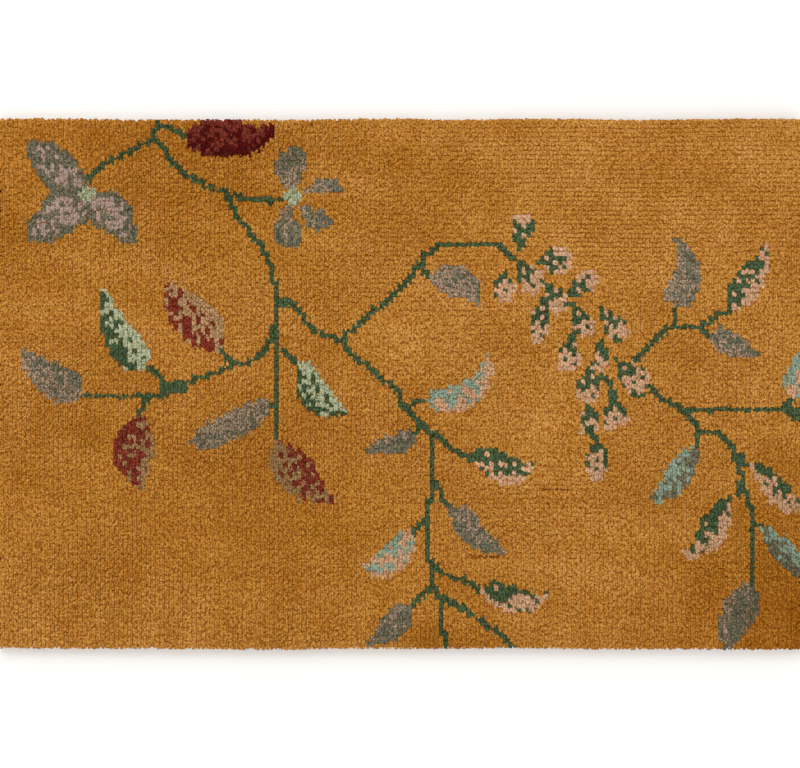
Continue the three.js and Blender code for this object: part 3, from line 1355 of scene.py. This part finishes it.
@dataclass
class PileField:
    """The cut pile: two tufts on every knot, each with two plies that stand up from the foundation."""

    grid: KnotGrid
    solid: RugSolid
    chart: Chart
    gold_bands: int = 4

    # How far the rows and not the columns show
    row_mounds: tuple[RowMound, ...] = (
        RowMound(0.95, 0.82, 0, 0.33, 0.28),
        RowMound(0.4, 0.68, 0.4, 0.25, 0.5),
        RowMound(0.25, 0, 0.35, 0.12, 0.25),
    )
    row_patches: float = 0.06
    row_patch_knots: float = 45

    # The size and stray of a tuft's mouth, in knots
    half_across: float = 0.335
    half_along: float = 0.63
    across_trend: RowTrend = RowTrend(0.9, 0.24)
    along_trend: RowTrend = RowTrend(1.2, -0.27)
    size_spread: float = 0.08
    slender_size: float = 0.85
    slender_kin: int = 2
    twin_step: float = 0.5
    twin_skew: float = 0.06
    knot_pull: float = 0.045
    place_spread: float = 0.09
    stray_trend: RowTrend = RowTrend(3.0, -2.45)
    side_stray_trend: RowTrend = RowTrend(0.25, 0.6)
    knot_stray: float = 0.07

    # The form of a tuft
    ply_gap: float = 0.42
    ragged_spread: float = 0.17
    turn_spread: float = 0.14
    mouth_drop: float = 0.26 * MM
    mouth_trend: RowTrend = RowTrend(0.72, 0.28)
    valley_drop: float = 0.12 * MM
    valley_trend: RowTrend = RowTrend(1.4, -0.4)
    drop_spread: float = 0.25
    root_share: float = 0.7
    root_depth: float = 0.5 * MM
    short_root: float = 2.6 * MM
    root_inset: float = 1.2 * MM

    # The height and lean of the tufts
    tip_rise: float = 0.15 * MM
    most_rise: float = 0.3 * MM
    height_spread: float = 0.07 * MM
    ply_spread: float = 0.09 * MM
    parted_sink: float = 0.5 * MM
    side_lean: float = 0.03
    lean: float = 0.07
    lean_drift: float = 0.03
    lean_drift_spans: tuple[float, float] = (0.09, 0.12)
    lean_spread: float = 0.035
    lean_slope: float = 2

    # The strands and tones of the plies
    ply_strands: tuple[float, float] = (0.3, 0.7)
    strand_spread: float = 0.15
    tuft_tone_spread: float = 0.025
    point_tone_spread: float = 0.04
    # The plies' tips are painted a little lighter and the tufts' sides a little darker: painted light and
    # painted shade
    tip_painted_light: float = 0.01
    side_painted_shade: float = -0.02
    side_reach: float = 0.8

    # The slow patches where the dye runs a little lighter or darker, and broad pools where the wool's colour
    # is darker
    patch_shade: float = 0.03
    patch_knots: float = 11
    broad_shade: float = 0.02
    broad_knots: float = 34
    broad_squash: float = 1.6
    pools: tuple[ShadedPool, ...] = (
        ShadedPool(40, 0, 28, 0.17),
        ShadedPool(0, 12, 22, 0.13),
        ShadedPool(60, 18, 14, 0.07),
        ShadedPool(16, 74, 24, 0.11),
        ShadedPool(62, 82, 27, 0.16),
        ShadedPool(97, 116, 18, 0.14),
        ShadedPool(182, 110, 30, 0.36),
        ShadedPool(88, 12, 17, 0.09),
    )

    # The mouth of a tuft seen from above, counter-clockwise from its right side, as shares of its half sizes
    MOUTH = ((1.0, 0.0), (0.74, 0.82), (-0.74, 0.82), (-1.0, 0.0), (-0.74, -0.82), (0.74, -0.82))

    # A tuft's points are the tips of its two plies, its mouth and its root
    PLY_FACES = ((0, 2, 3), (0, 3, 4), (0, 4, 5), (0, 5, 2), (1, 5, 6), (1, 6, 7), (1, 7, 2), (1, 2, 5))
    POINTS = 14
    PLIES = slice(0, 2)
    SIDES = slice(2, 8)
    ROOT = slice(8, 14)

    # Where the points lie in a tuft's own square of the flat map
    MAP_PLIES = (0.61, 0.39)
    MAP_MOUTH = 0.29
    MAP_ROOT = 0.46

    def _faces(self) -> np.ndarray:
        """Makes the twenty triangles of one tuft, its two plies and its sides, and returns them."""
        faces = list(self.PLY_FACES)
        sides = len(self.MOUTH)
        for k in range(sides):
            here, there = self.SIDES.start + k, self.SIDES.start + (k + 1) % sides
            faces += [(here, here + sides, there + sides), (here, there + sides, there)]
        return np.array(faces)

    def _map_cell(self) -> np.ndarray:
        """Places each point in a tuft's own square of the flat map, plies inside and root at the rim."""
        cell = np.full((self.POINTS, 2), 0.5)
        cell[self.PLIES, 1] = self.MAP_PLIES
        for k, (x, y) in enumerate(self.MOUTH):
            turn = math.atan2(y, x)
            heading = np.array([math.cos(turn), math.sin(turn)])
            cell[self.SIDES.start + k] = 0.5 + self.MAP_MOUTH * heading
            cell[self.ROOT.start + k] = 0.5 + self.MAP_ROOT * heading
        return cell

    def _row_weight(self, x: np.ndarray, y: np.ndarray) -> np.ndarray:
        """Says how much the rows show, and not the columns: most at the far side, right of the middle.

        Args:
            x: Columns from the grid's left edge.
            y: Rows from its far edge.

        Returns:
            1 where the rows part the pile, 0 where the columns do.
        """
        right = x / self.grid.columns
        down = y / self.grid.rows
        mounds = sum(mound.at(right, down) for mound in self.row_mounds)
        patches = self.row_patches * DriftField(SEED + 1, self.row_patch_knots).at(x, y)
        return np.clip(mounds + patches, 0, 1)

    def _plan(self, rng: np.random.Generator) -> TuftPlan:
        """Plans where every tuft stands and how large it is.

        Args:
            rng: The source of their unevenness.

        Returns:
            The plan.
        """
        grid = self.grid
        column, row, twin = np.meshgrid(np.arange(grid.columns), np.arange(grid.rows), (0, 1))
        column, row, twin = column.ravel(), row.ravel(), twin.ravel()
        count = len(column)
        yarn = self.chart.yarn[row, column]
        rows_show = self._row_weight(column, row)
        pull = self.knot_pull * (1 - rows_show)
        stray = self.place_spread * self.stray_trend.at(rows_show)
        side_stray = self.place_spread * self.side_stray_trend.at(rows_show) * rng.normal(0, 1, count)
        across = column + self.twin_step / 2 + self.twin_step * twin + pull * (1 - 2 * twin) + side_stray
        knot_stray = self.knot_stray * rng.normal(0, 1, (grid.rows, grid.columns))[row, column]
        knot_stray *= 1 - rows_show
        skew = self.twin_skew * (2 * twin - 1)
        along = row + 0.5 + skew + knot_stray + stray * rng.normal(0, 1, count)
        spread = self.size_spread
        half_across = self.half_across * self.across_trend.at(rows_show) * rng.normal(1, spread, count)
        half_along = self.half_along * self.along_trend.at(rows_show) * rng.normal(1, spread, count)
        slender = (yarn == Yarn.VINE_GREEN.value) & (self.chart.kin()[row, column] <= self.slender_kin)
        half_across = np.where(slender, self.slender_size, 1.0) * half_across
        half_along = np.where(slender, self.slender_size, 1.0) * half_along
        across = np.clip(across, half_across, grid.columns - half_across)
        along = np.clip(along, half_along, grid.rows - half_along)
        sunk = np.zeros(count)
        for parting in PARTINGS:
            near = parting.nearness(across, along)
            along += np.sign(along - parting.row) * parting.opening * near
            sunk += self.parted_sink * near
        centre = self.solid.place(across, along, grid)
        pile = self.solid.pile_height(centre[:, 0], centre[:, 1])
        knot_rise = rng.normal(0, self.height_spread, (grid.rows, grid.columns))[row, column]
        top = pile + knot_rise - sunk + self.tip_rise
        return TuftPlan(yarn, column, row, rows_show, half_across, half_along, centre, top)

    def _shade(self, column: np.ndarray, row: np.ndarray) -> np.ndarray:
        """Darkens the wool a little in broad pools and in slow patches.

        Args:
            column: Each tuft's column.
            row: Its row.

        Returns:
            The share of the full tone that each tuft keeps.
        """
        tone = 1 + self.patch_shade * DriftField(SEED + 9, self.patch_knots).at(column, row)
        broad = DriftField(SEED + 10, self.broad_knots).at(column, self.broad_squash * row)
        tone += self.broad_shade * broad
        for pool in self.pools:
            reach = np.hypot(column - pool.column, row - pool.row) / pool.radius
            tone -= pool.depth * np.exp(-(reach**2))
        return tone

    def _stand(self, rng: np.random.Generator, plan: TuftPlan) -> np.ndarray:
        """Stands the tufts up at their places.

        Args:
            rng: The source of their unevenness.
            plan: Where they stand and how large they are.

        Returns:
            The points of each tuft, 14 rows of three.
        """
        count = len(plan.yarn)
        turn = rng.normal(0, self.turn_spread, count)
        turn_cos, turn_sin = np.cos(turn)[:, None], np.sin(turn)[:, None]
        shape = np.array([(0, self.ply_gap), (0, -self.ply_gap), *self.MOUTH, *self.MOUTH])
        ragged = rng.normal(1, self.ragged_spread, (count, self.POINTS, 1))
        half_sizes = np.stack([plan.half_across, plan.half_along], -1)
        flat = shape * ragged * half_sizes[:, None] * self.grid.pitch
        x = flat[..., 0] * turn_cos - flat[..., 1] * turn_sin
        y = flat[..., 0] * turn_sin + flat[..., 1] * turn_cos
        centre_x, centre_y = plan.centre[:, 0], plan.centre[:, 1]
        drift_x = DriftField(SEED + 3, self.lean_drift_spans[0]).at(centre_x, centre_y)
        drift_y = DriftField(SEED + 4, self.lean_drift_spans[1]).at(centre_x, centre_y)
        lean_x = self.side_lean + self.lean_drift * drift_x + rng.normal(0, self.lean_spread, count)
        lean_y = -self.lean - self.lean_drift * drift_y + rng.normal(0, self.lean_spread, count)
        on_rim = (plan.row == 0) | (plan.row == self.grid.rows - 1)
        on_rim |= (plan.column == 0) | (plan.column == self.grid.columns - 1)
        full_root = self.solid.foundation_top - self.root_depth
        root = np.where(on_rim, full_root, plan.top - self.short_root)
        points = np.empty((count, self.POINTS, 3))
        points[..., 0] = centre_x[:, None] + x
        points[..., 1] = centre_y[:, None] + y
        points[..., 2] = plan.top[:, None]
        points[:, self.PLIES, 2] += rng.normal(0, self.ply_spread, (count, 2))
        at_side = np.array(self.MOUTH)[:, 1] == 0
        valley_drop = self.valley_drop * self.valley_trend.at(plan.rows_show)[:, None]
        mouth_drop = self.mouth_drop * self.mouth_trend.at(plan.rows_show)[:, None]
        drop = np.where(at_side, valley_drop, mouth_drop)
        sides, foot = self.SIDES, self.ROOT
        points[:, sides, 2] -= drop * rng.normal(1, self.drop_spread, (count, 6))
        slope_x = x[:, sides] * lean_x[:, None] * self.lean_slope
        slope_y = y[:, sides] * lean_y[:, None] * self.lean_slope
        points[:, sides, 2] += slope_x + slope_y
        height = plan.top - root
        points[:, foot, 0] = centre_x[:, None] + self.root_share * x[:, foot] - (lean_x * height)[:, None]
        points[:, foot, 1] = centre_y[:, None] + self.root_share * y[:, foot] - (lean_y * height)[:, None]
        points[:, foot, 2] = root[:, None]
        self._keep_in(points)
        return points

    def _keep_in(self, points: np.ndarray) -> None:
        """Keeps the roots over the foundation and the tips inside the rug's box."""
        low, high = self.solid.box
        inset = self.root_inset
        points[:, self.ROOT, 0] = np.clip(points[:, self.ROOT, 0], low.x + inset, high.x - inset)
        points[:, self.ROOT, 1] = np.clip(points[:, self.ROOT, 1], low.y + inset, high.y - inset)
        points[..., 2] = np.minimum(points[..., 2], high.z + self.most_rise)

    def _readings(self, rng: np.random.Generator, count: int) -> dict[str, np.ndarray]:
        """Gives each point its strand, tone and reach.

        Args:
            rng: The source of the differences from ply to ply.
            count: The number of tufts.

        Returns:
            "strand", "tone" and "reach", one row of 14 for each tuft.
        """
        around = self.POINTS - 2
        strand = np.empty((count, self.POINTS))
        strand[:, :2] = rng.choice(self.ply_strands, (count, 2))
        strand[:, 2:] = 0.5 + rng.normal(0, self.strand_spread, (count, around))
        tone = np.empty((count, self.POINTS))
        tuft_tone = rng.normal(1, self.tuft_tone_spread, (count, 1))
        # The tips get painted light and the sides painted shade on top of each tuft's own tone
        tone[:, :2] = tuft_tone + rng.normal(self.tip_painted_light, self.point_tone_spread, (count, 2))
        tone[:, 2:] = tuft_tone + rng.normal(self.side_painted_shade, self.point_tone_spread, (count, around))
        reach = np.zeros((count, self.POINTS))
        reach[:, self.PLIES] = 1.0
        reach[:, self.SIDES] = self.side_reach
        return {"strand": np.clip(strand, 0, 1), "tone": tone, "reach": reach}

    def tufts(self) -> dict[str, np.ndarray]:
        """Works out every tuft's yarn, points and readings.

        Returns:
            Arrays with one entry for each tuft: "yarn", "row", "points" (14 by 3), and "strand", "tone" and
            "reach" (14 each).
        """
        rng = np.random.default_rng(SEED + 2)
        plan = self._plan(rng)
        points = self._stand(rng, plan)
        readings = self._readings(rng, len(plan.yarn))
        readings["tone"] *= self._shade(plan.column, plan.row)[:, None]
        return {"yarn": plan.yarn, "row": plan.row, "points": points, **readings}

    def _piece(self, name: str, tufts: dict[str, np.ndarray], chosen: np.ndarray) -> bpy.types.Object:
        """Joins the chosen tufts into one piece.

        Args:
            name: The piece's name.
            tufts: The arrays that tufts() gives.
            chosen: True for each tuft to take.

        Returns:
            The piece.
        """
        points = tufts["points"][chosen]
        count = len(points)
        starts = self.POINTS * np.arange(count)[:, None, None]
        triangles = (self._faces()[None] + starts).reshape(-1, 3)
        piece = mesh_piece(name, points.reshape(-1, 3), triangles, smooth=True)
        for reading in ("strand", "tone", "reach"):
            write_numbers(piece, reading, tufts[reading][chosen])
        side = math.ceil(math.sqrt(count))
        corner = np.stack([np.arange(count) % side, np.arange(count) // side], -1)[:, None]
        places = ((corner + self._map_cell()) / side).reshape(-1, 2)
        write_map(piece, places[triangles.ravel()])
        return piece

    def build(self, groups: FinishGroups) -> list[bpy.types.Object]:
        """Builds the pile's pieces, one for each yarn and several for the gold ground, and dresses them.

        Args:
            groups: The node groups that the yarns share.

        Returns:
            The pieces.
        """
        tufts = self.tufts()
        band = tufts["row"] * self.gold_bands // self.grid.rows
        pieces = []
        for yarn, finish in WOOLS.items():
            mine = tufts["yarn"] == yarn.value
            if not mine.any():
                continue
            material = finish.material(groups)
            parts = range(self.gold_bands) if yarn is Yarn.GOLD else (None,)
            for part in parts:
                name = f"pile_{yarn.name.lower()}" + ("" if part is None else f"_{part + 1}")
                piece = self._piece(name, tufts, mine if part is None else mine & (band == part))
                piece.data.materials.append(material)
                pieces.append(piece)
        return pieces


@dataclass
class PileCore:
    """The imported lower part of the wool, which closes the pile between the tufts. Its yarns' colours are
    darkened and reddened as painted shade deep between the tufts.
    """

    grid: KnotGrid
    solid: RugSolid
    chart: Chart
    depth: float = 0.7 * MM
    inset_knots: float = 1.0
    unevenness: float = 0.12 * MM
    parted_depth: float = 4.0 * MM
    rim_sink: float = 0.2 * MM
    # The tint is painted shade: it darkens and reddens the yarns where the core shows between the tufts
    tint: Colour = (0.92, 0.68, 0.38)

    def build(self, material: bpy.types.Material, slot: str) -> bpy.types.Object:
        """Builds the core as one piece.

        Args:
            material: The finish for wool that is coloured knot by knot.
            slot: Not used.

        Returns:
            The piece.
        """
        rng = np.random.default_rng(SEED + 8)
        rows, columns = self.grid.rows, self.grid.columns
        across = np.clip(np.arange(columns + 1.0), self.inset_knots, columns - self.inset_knots)
        along = np.clip(np.arange(rows + 1.0), self.inset_knots, rows - self.inset_knots)
        across, along = np.meshgrid(across[1:-1], along[1:-1])
        flat = self.solid.place(across, along, self.grid, low=True)
        height = self.solid.pile_height(flat[..., 0], flat[..., 1]) - self.depth
        height += rng.normal(0, self.unevenness, height.shape)
        for parting in PARTINGS:
            height -= self.parted_depth * parting.opening * parting.nearness(across, along)
        upper = np.concatenate([flat, height[..., None]], -1).reshape(-1, 3)
        ids = np.arange(len(upper)).reshape(across.shape)
        high_rim = rim_of(ids)
        rim = upper[high_rim].copy()
        rim[:, 2] = self.solid.foundation_top - self.rim_sink
        low_rim = len(upper) + np.arange(len(rim))
        top = top_faces(ids)
        triangles = np.concatenate([top, wall_faces(low_rim, high_rim)])
        piece = mesh_piece("pile_core", np.concatenate([upper, rim]), triangles, smooth=True)
        # The core takes its yarns' colours times the tint, painted shade deep between the tufts
        colours = np.ones((len(triangles), 3, 4), np.float32)
        colours[..., :3] = self.tint * YARN_MEANS[Yarn.GOLD.value]
        inner = self.chart.yarn[1:-1, 1:-1].ravel()
        colours[:len(top), :, :3] = self.tint * np.repeat(YARN_MEANS[inner], 2, axis=0)[:, None]
        write_wool_colours(piece, colours)
        write_numbers(piece, "wrapping", np.ones(len(upper) + len(rim)))
        write_numbers(piece, "tone", np.ones(len(upper) + len(rim)))
        piece.data.materials.append(material)
        return piece


# The foundation


@dataclass
class Foundation:
    """The woven ground of cotton warp and weft, with the backs of the knots on its underside."""

    grid: KnotGrid
    solid: RugSolid
    chart: Chart
    finish: CottonFinish = CottonFinish()
    knot_back_rise: float = 0.55 * MM
    rise_spread: float = 0.12
    knot_stray: float = 0.05
    peak_spread: float = 0.05 * MM
    part_wrapped: float = 0.35
    knot_shade: float = 0.9
    knot_shade_spread: float = 0.07
    thread_tone: float = 0.95
    thread_tone_spread: float = 0.06

    # The flat map holds the knots' backs at full size, the upper side smaller, and four strips for the walls
    MAP_MARGIN = 0.005
    BACKS_SIZE = 0.99
    UPPER_SIZE = 0.42
    UPPER_START = 0.68
    STRIP_LEFT = 0.44
    STRIP_LENGTH = 0.55
    STRIP_START = 0.70
    STRIP_STEP = 0.06
    STRIP_WIDTH = 0.1

    def _lattice(self, across: np.ndarray, along: np.ndarray, height: np.ndarray) -> np.ndarray:
        """Places a lattice of points at a height.

        Args:
            across: Columns from the grid's left edge.
            along: Rows from its far edge.
            height: The height of each point.

        Returns:
            The points, one row of three each.
        """
        across, along, height = np.broadcast_arrays(across, along, height)
        flat = self.solid.place(across, along, self.grid, low=True)
        return np.concatenate([flat, height[..., None]], -1).reshape(-1, 3)

    def build(self, groups: FinishGroups) -> bpy.types.Object:
        """Builds the foundation as one closed sheet and dresses it.

        Args:
            groups: The node groups that the finishes share.

        Returns:
            The piece.
        """
        rng = np.random.default_rng(SEED + 5)
        rows, columns = self.grid.rows, self.grid.columns
        corner_x, corner_y = np.meshgrid(np.arange(columns + 1.0), np.arange(rows + 1.0))
        rise = self.knot_back_rise * rng.normal(1, self.rise_spread, corner_x.shape)
        under = self._lattice(corner_x, corner_y, rise)
        knots = self._lattice(
            np.arange(columns)[None] + 0.5 + rng.normal(0, self.knot_stray, (rows, columns)),
            np.arange(rows)[:, None] + 0.5 + rng.normal(0, self.knot_stray, (rows, columns)),
            np.abs(rng.normal(0, self.peak_spread, (rows, columns))),
        )
        ids = np.arange(len(under)).reshape(corner_x.shape)
        peak = len(under) + np.arange(rows * columns).reshape(rows, columns)
        low_rim = rim_of(ids)
        rim = under[low_rim].copy()
        rim[:, 2] = self.solid.foundation_top
        middle = np.array([[0, 0, self.solid.foundation_top]])
        points = np.concatenate([under, knots, rim, middle])
        high_rim = len(under) + len(knots) + np.arange(len(rim))
        backs = self._knot_faces(ids, peak)
        walls = wall_faces(low_rim, high_rim)
        top = np.stack([high_rim, np.roll(high_rim, -1), np.full(len(rim), len(points) - 1)], -1)[:, ::-1]
        triangles = np.concatenate([backs, walls, top])
        piece = mesh_piece("cotton_foundation", points, triangles, smooth=False)
        self._dress(piece, groups, rng, len(backs), triangles, points)
        return piece

    @staticmethod
    def _knot_faces(ids: np.ndarray, peak: np.ndarray) -> np.ndarray:
        """Makes the four faces of each knot's back, which look down, and returns them."""
        far_left, far_right = ids[:-1, :-1], ids[:-1, 1:]
        near_left, near_right = ids[1:, :-1], ids[1:, 1:]
        ring = (far_left, far_right, near_right, near_left)
        faces = [np.stack([ring[k], ring[(k + 1) % 4], peak], -1) for k in range(4)]
        return np.stack(faces, -2).reshape(-1, 3)

    def _dress(
        self,
        piece: bpy.types.Object,
        groups: FinishGroups,
        rng: np.random.Generator,
        back_count: int,
        triangles: np.ndarray,
        points: np.ndarray,
    ) -> None:
        """Colours the knots' backs, maps the piece and gives it its material.

        Args:
            piece: The foundation.
            groups: The node groups that the finishes share.
            rng: The source of the differences from knot to knot.
            back_count: The number of faces on the knots' backs, which come first.
            triangles: The piece's faces.
            points: The piece's points.
        """
        knots = self.grid.rows * self.grid.columns
        shade = rng.normal(self.knot_shade, self.knot_shade_spread, (knots, 1))
        knot_colour = YARN_MEANS[self.chart.yarn.ravel()] * shade
        colours = np.ones((len(triangles), 3, 4), np.float32)
        colours[:back_count, :, :3] = np.repeat(knot_colour, 4, axis=0)[:, None]
        write_wool_colours(piece, colours)
        wrapping = np.zeros(len(points))
        corners = (self.grid.rows + 1) * (self.grid.columns + 1)
        wrapping[:corners] = self.part_wrapped
        wrapping[corners:corners + knots] = 1.0
        write_numbers(piece, "wrapping", wrapping)
        write_numbers(piece, "tone", rng.normal(self.thread_tone, self.thread_tone_spread, len(points)))
        write_map(piece, self._map_places(back_count, triangles, points))
        piece.data.materials.append(self.finish.material(groups))

    def _map_places(self, back_count: int, triangles: np.ndarray, points: np.ndarray) -> np.ndarray:
        """Lays the piece's faces out flat: the knots' backs, the upper side and the walls as strips.

        Args:
            back_count: The number of faces on the knots' backs, which come first.
            triangles: The piece's faces.
            points: The piece's points.

        Returns:
            One row of two for each face corner.
        """
        low, high = self.solid.box
        span = high.x - low.x
        corners = points[triangles]
        u = (corners[..., 0] - low.x) / span
        v = (corners[..., 1] - low.y) / span
        size, margin = self.BACKS_SIZE, self.MAP_MARGIN
        places = np.stack([size * u + margin, size * v + margin], -1)
        wall_count = 4 * (self.grid.rows + self.grid.columns)
        upper = slice(back_count + wall_count, None)
        size = self.UPPER_SIZE
        places[upper] = np.stack([size * u[upper] + margin, size * v[upper] + self.UPPER_START], -1)
        walls = slice(back_count, back_count + wall_count)
        wall = corners[walls]
        normal = np.cross(wall[:, 1] - wall[:, 0], wall[:, 2] - wall[:, 0])
        on_end = np.abs(normal[:, 0]) > np.abs(normal[:, 1])
        far = np.where(on_end, normal[:, 0] > 0, normal[:, 1] > 0)
        strip = self.STRIP_START + self.STRIP_STEP * (on_end * 2 + far)
        run = self.STRIP_LEFT + self.STRIP_LENGTH * np.where(on_end[:, None], v[walls], u[walls])
        rise = self.STRIP_WIDTH * wall[..., 2] / high.z
        places[walls] = np.stack([run, strip[:, None] + rise], -1)
        return places.reshape(-1, 2)


@dataclass
class ThreadEnds:
    """The cut ends of warp and weft that show along the foundation's edges."""

    grid: KnotGrid
    solid: RugSolid
    finish: CottonFinish = CottonFinish()
    warp_radius: float = 0.42 * MM
    warp_height: float = 1.35 * MM
    warp_step: float = 0.35 * MM
    warp_spread: float = 0.1 * MM
    weft_radius: float = 0.5 * MM
    weft_height: float = 1.5 * MM
    weft_spread: float = 0.15 * MM
    weft_start: float = 0.02
    reach: float = 0.45 * MM
    reach_range: tuple[float, float] = (0.3, 1)
    tip_reach: float = 1.15
    root: float = 1.2 * MM
    sides: int = 5
    roughness: float = 0.1
    tone: float = 1.05
    tone_spread: float = 0.1

    def _ends(self) -> tuple[np.ndarray, np.ndarray, np.ndarray]:
        """Finds every thread end.

        Returns:
            The ends' middles on the wall, their outward headings and their radii.
        """
        rng = np.random.default_rng(SEED + 6)
        columns, rows = self.grid.columns, self.grid.rows
        warp = np.arange(2 * columns) / 2 + 0.25
        weft = np.arange(rows) + self.weft_start
        middles, headings, radii = [], [], []
        for along, sign in ((0.0, 1), (float(rows), -1)):
            flat = self.solid.place(warp, np.full(warp.shape, along), self.grid, low=True)
            height = self.warp_height + self.warp_step * (-1) ** np.arange(len(warp))
            height += rng.normal(0, self.warp_spread, len(warp))
            middles.append(np.column_stack([flat, height]))
            headings.append(np.tile((0, sign), (len(warp), 1)))
            radii.append(np.full(len(warp), self.warp_radius))
        for across, sign in ((0.0, -1), (float(columns), 1)):
            flat = self.solid.place(np.full(weft.shape, across), weft, self.grid, low=True)
            height = self.weft_height + rng.normal(0, self.weft_spread, len(weft))
            middles.append(np.column_stack([flat, height]))
            headings.append(np.tile((sign, 0), (len(weft), 1)))
            radii.append(np.full(len(weft), self.weft_radius))
        return np.concatenate(middles), np.concatenate(headings), np.concatenate(radii)

    def build(self, material: bpy.types.Material) -> bpy.types.Object:
        """Builds all the ends as one piece.

        Args:
            material: The foundation's material.

        Returns:
            The piece.
        """
        rng = np.random.default_rng(SEED + 7)
        middles, headings, radii = self._ends()
        count = len(middles)
        outward = np.column_stack([headings, np.zeros(count)])
        aside = np.column_stack([-headings[:, 1], headings[:, 0], np.zeros(count)])
        upward = np.array([0.0, 0.0, 1.0])
        turns = math.tau * np.arange(self.sides) / self.sides
        ring = np.cos(turns)[None, :, None] * aside[:, None] + np.sin(turns)[None, :, None] * upward
        ring = ring * (radii[:, None, None] * rng.normal(1, self.roughness, (count, self.sides, 1)))
        far = self.reach * rng.uniform(*self.reach_range, (count, 1, 1)) * outward[:, None]
        near = -self.root * outward[:, None]
        tip = middles[:, None] + self.tip_reach * far
        points = np.concatenate([tip, middles[:, None] + ring + far, middles[:, None] + ring + near], 1)
        faces = []
        for k in range(self.sides):
            here, there = 1 + k, 1 + (k + 1) % self.sides
            here_near, there_near = here + self.sides, there + self.sides
            faces += [(0, here, there), (here, here_near, there_near), (here, there_near, there)]
        per_end = 1 + 2 * self.sides
        triangles = (np.array(faces)[None] + per_end * np.arange(count)[:, None, None]).reshape(-1, 3)
        piece = mesh_piece("cut_thread_ends", points.reshape(-1, 3), triangles, smooth=True)
        tone = rng.normal(self.tone, self.tone_spread, (count, 1)) * np.ones((count, per_end))
        write_numbers(piece, "tone", tone)
        write_numbers(piece, "wrapping", np.zeros(count * per_end))
        piece.data.materials.append(material)
        return piece


# The rug as a whole, and the studio


@dataclass
class KnottedRug:
    """The whole rug: chart, pile, foundation and cut threads."""

    grid: KnotGrid = KnotGrid()
    solid: RugSolid = field(default_factory=RugSolid)
    flat: tuple[float, float] = (0.566, 0.371)

    def build(self, floor: bpy.types.Object) -> None:
        """Args:
            floor: Not used.
        """
        groups = FinishGroups()
        chart = Chart(self.grid)
        TrailingDesign().draw(chart)
        pile = PileField(self.grid, self.solid, chart).build(groups)
        foundation = Foundation(self.grid, self.solid, chart).build(groups)
        wrapped_wool = foundation.data.materials[0]
        pile.append(PileCore(self.grid, self.solid, chart).build(wrapped_wool, WOOLS[Yarn.GOLD].slot))
        threads = ThreadEnds(self.grid, self.solid).build(wrapped_wool)
        for piece in (*pile, threads, foundation):
            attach(piece, BODY)
            log.info("%s: %d triangles", piece.name, len(piece.data.polygons))
        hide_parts(RUG_NODE)


@dataclass
class Studio:
    """The plain pale floor, the soft lights and the camera that looks straight down."""

    view_width: float = 0.5586
    lens: float = 85.0
    sensor: float = 36.0
    nearest_sight: float = 0.01
    floor_half: float = 3.0
    floor_tone: Colour = dye(236, 235, 232)
    floor_roughness: float = 0.9
    sky_strength: float = 0.95
    key_power: float = 18.0
    key_size: float = 1.4
    key_place: tuple[float, float, float] = (-0.9, 1.1, 1.7)
    fill_power: float = 8.0
    fill_size: float = 2.24
    fill_place: tuple[float, float, float] = (1.2, -0.9, 1.6)

    def floor(self) -> bpy.types.Object:
        """Lays the floor.

        Returns:
            The floor.
        """
        half = self.floor_half
        corners = np.array([(-half, -half, 0), (half, -half, 0), (half, half, 0), (-half, half, 0)])
        floor = mesh_piece("studio_floor", corners, np.array([(0, 1, 2), (0, 2, 3)]), smooth=False)
        material = bpy.data.materials.new("pale floor")
        material.use_nodes = True
        shader = material.node_tree.nodes["Principled BSDF"]
        shader.inputs["Base Color"].default_value = (*self.floor_tone, 1)
        shader.inputs["Roughness"].default_value = self.floor_roughness
        floor.data.materials.append(material)
        return floor

    def _light(self, name: str, place: tuple[float, float, float], power: float, size: float) -> None:
        """Hangs one square soft light that faces the rug."""
        light = bpy.data.lights.new(name, "AREA")
        light.energy = power
        light.size = size
        lamp = bpy.data.objects.new(name, light)
        lamp.location = place
        lamp.rotation_euler = (-Vector(place)).to_track_quat("-Z", "Y").to_euler()
        bpy.context.scene.collection.objects.link(lamp)

    def lights(self) -> None:
        """Sets the sky and the two soft lights."""
        world = bpy.data.worlds.new("soft studio sky")
        world.use_nodes = True
        sky = world.node_tree.nodes["Background"].inputs
        sky["Color"].default_value = (1, 1, 1, 1)
        sky["Strength"].default_value = self.sky_strength
        bpy.context.scene.world = world
        self._light("key light", self.key_place, self.key_power, self.key_size)
        self._light("fill light", self.fill_place, self.fill_power, self.fill_size)

    def camera(self) -> None:
        """Hangs the camera straight over the rug, as in the photograph."""
        camera = bpy.data.cameras.new("photo camera")
        camera.lens = self.lens
        camera.sensor_width = self.sensor
        camera.clip_start = self.nearest_sight
        eye = bpy.data.objects.new("photo camera", camera)
        pile_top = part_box(RUG_NODE)[1][2]
        eye.location = (0, 0, pile_top + self.view_width * self.lens / self.sensor)
        bpy.context.scene.collection.objects.link(eye)
        bpy.context.scene.camera = eye
        bpy.context.scene.view_settings.view_transform = "Standard"


def main() -> None:
    """Builds the studio and the rug."""
    logging.basicConfig(level=logging.INFO, format="%(name)s %(message)s")
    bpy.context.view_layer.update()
    studio = Studio()
    studio.camera()
    studio.lights()
    KnottedRug().build(studio.floor())


if __name__ == "__main__":
    main()
